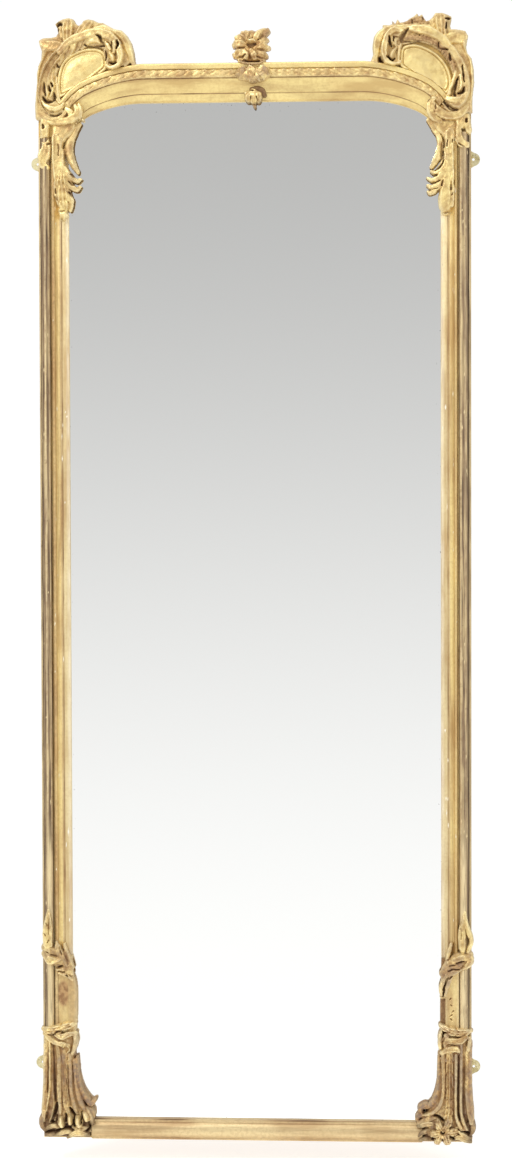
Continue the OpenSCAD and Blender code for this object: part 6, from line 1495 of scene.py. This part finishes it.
# name, place, breadth and power of the lamps
LAMPS = (("key", (-2.3, -3.0, 2.9), 1.6, 74), ("fill", (2.6, -2.6, 1.2), 1.8, 17),
         ("top", (-0.3, -1.6, 3.2), 1.4, 12))
# the photograph's view: degrees of yaw, pitch and roll, the point aimed at, the distance from it, and
# the focal length, given for a frame 512 wide and held for its height of 1158
YAW, PITCH, ROLL = 3.49585, 1.77005, -0.17682
AIM = (0.00031, 0, 0.072845)
DISTANCE = 5.2
FOCAL = 182.8125 * 512 / 1158


def studio():
    """A white floor card under the frame that glows faintly, a painted light that keeps it as white
    as the room, a white room that darkens a little upwards where the plate mirrors it, and soft
    light from the upper left."""
    floor = bpy.data.meshes.new("floor_card")
    corners = [(-1, -0.5, FLOOR_Z), (1, -0.5, FLOOR_Z), (1, 0.25, FLOOR_Z), (-1, 0.25, FLOOR_Z)]
    floor.from_pydata(corners, [], [(0, 1, 2, 3)])
    card = bpy.data.objects.new("floor_card", floor)
    bpy.context.scene.collection.objects.link(card)
    f = Finish("pale_floor")
    # the card glows faintly, a painted light that keeps it as white as the room
    floor.materials.append(f.set(Base_Color=f.mix(f.noise(3, 2), (246, 246, 244), (250, 250, 249)),
                                 Roughness=0.9, Emission_Color=(255, 255, 255), Emission_Strength=0.3))

    world = bpy.data.worlds.new("studio_room")
    world.use_nodes = True
    bpy.context.scene.world = world
    tree = world.node_tree
    room, out = tree.nodes["Background"], tree.nodes["World Output"]
    room.inputs["Strength"].default_value = ROOM_LIGHT
    where = tree.nodes.new("ShaderNodeTexCoord")
    part = tree.nodes.new("ShaderNodeSeparateXYZ")
    tree.links.new(where.outputs["Generated"], part.inputs[0])
    reach = tree.nodes.new("ShaderNodeMapRange")
    reach.inputs["From Min"].default_value, reach.inputs["From Max"].default_value = -0.5, 0.5
    tree.links.new(part.outputs["Z"], reach.inputs["Value"])
    grey = tree.nodes.new("ShaderNodeValToRGB")
    grey.color_ramp.interpolation = "EASE"
    while len(grey.color_ramp.elements) < len(ROOM_STEPS):
        grey.color_ramp.elements.new(0.5)
    for element, (place, value) in zip(grey.color_ramp.elements, ROOM_STEPS):
        element.position, element.color = place, tone((value + 0.6, value, value - 0.8))
    tree.links.new(reach.outputs[0], grey.inputs[0])
    tree.links.new(grey.outputs[0], room.inputs["Color"])
    seen = tree.nodes.new("ShaderNodeBackground")
    seen.inputs["Color"].default_value = (1, 1, 1, 1)
    seen.inputs["Strength"].default_value = SEEN_WHITE
    path = tree.nodes.new("ShaderNodeLightPath")
    choose = tree.nodes.new("ShaderNodeMixShader")
    tree.links.new(path.outputs["Is Camera Ray"], choose.inputs[0])
    tree.links.new(room.outputs[0], choose.inputs[1])
    tree.links.new(seen.outputs[0], choose.inputs[2])
    tree.links.new(choose.outputs[0], out.inputs["Surface"])

    for name, place, size, power in LAMPS:
        light = bpy.data.lights.new(name, "AREA")
        light.shape, light.size, light.energy = "DISK", size, power
        lamp = bpy.data.objects.new(name, light)
        aim = Vector((0, 0, 0)) - Vector(place)
        lamp.matrix_world = Matrix.Translation(place) @ aim.to_track_quat("-Z", "Y").to_matrix().to_4x4()
        bpy.context.scene.collection.objects.link(lamp)
    bpy.context.scene.view_settings.view_transform = "Standard"


def camera():
    """The photograph's view: slightly from the right and above, rolled a sixth of a degree."""
    yaw, pitch, roll = (math.radians(a) for a in (YAW, PITCH, ROLL))
    back = Vector((math.sin(yaw) * math.cos(pitch), -math.cos(yaw) * math.cos(pitch), math.sin(pitch)))
    right = (-back).cross(Vector((0, 0, 1))).normalized()
    up = right.cross(-back)
    across = right * math.cos(roll) + up * math.sin(roll)
    upward = -right * math.sin(roll) + up * math.cos(roll)
    lens = bpy.data.cameras.new("camera")
    lens.sensor_fit, lens.sensor_width, lens.lens = "AUTO", 36, FOCAL
    eye = bpy.data.objects.new("camera", lens)
    stand = Matrix((across, upward, back)).transposed().to_4x4()
    stand.translation = Vector(AIM) + back * DISTANCE
    eye.matrix_world = stand
    bpy.context.scene.collection.objects.link(eye)
    bpy.context.scene.camera = eye


studio()
camera()
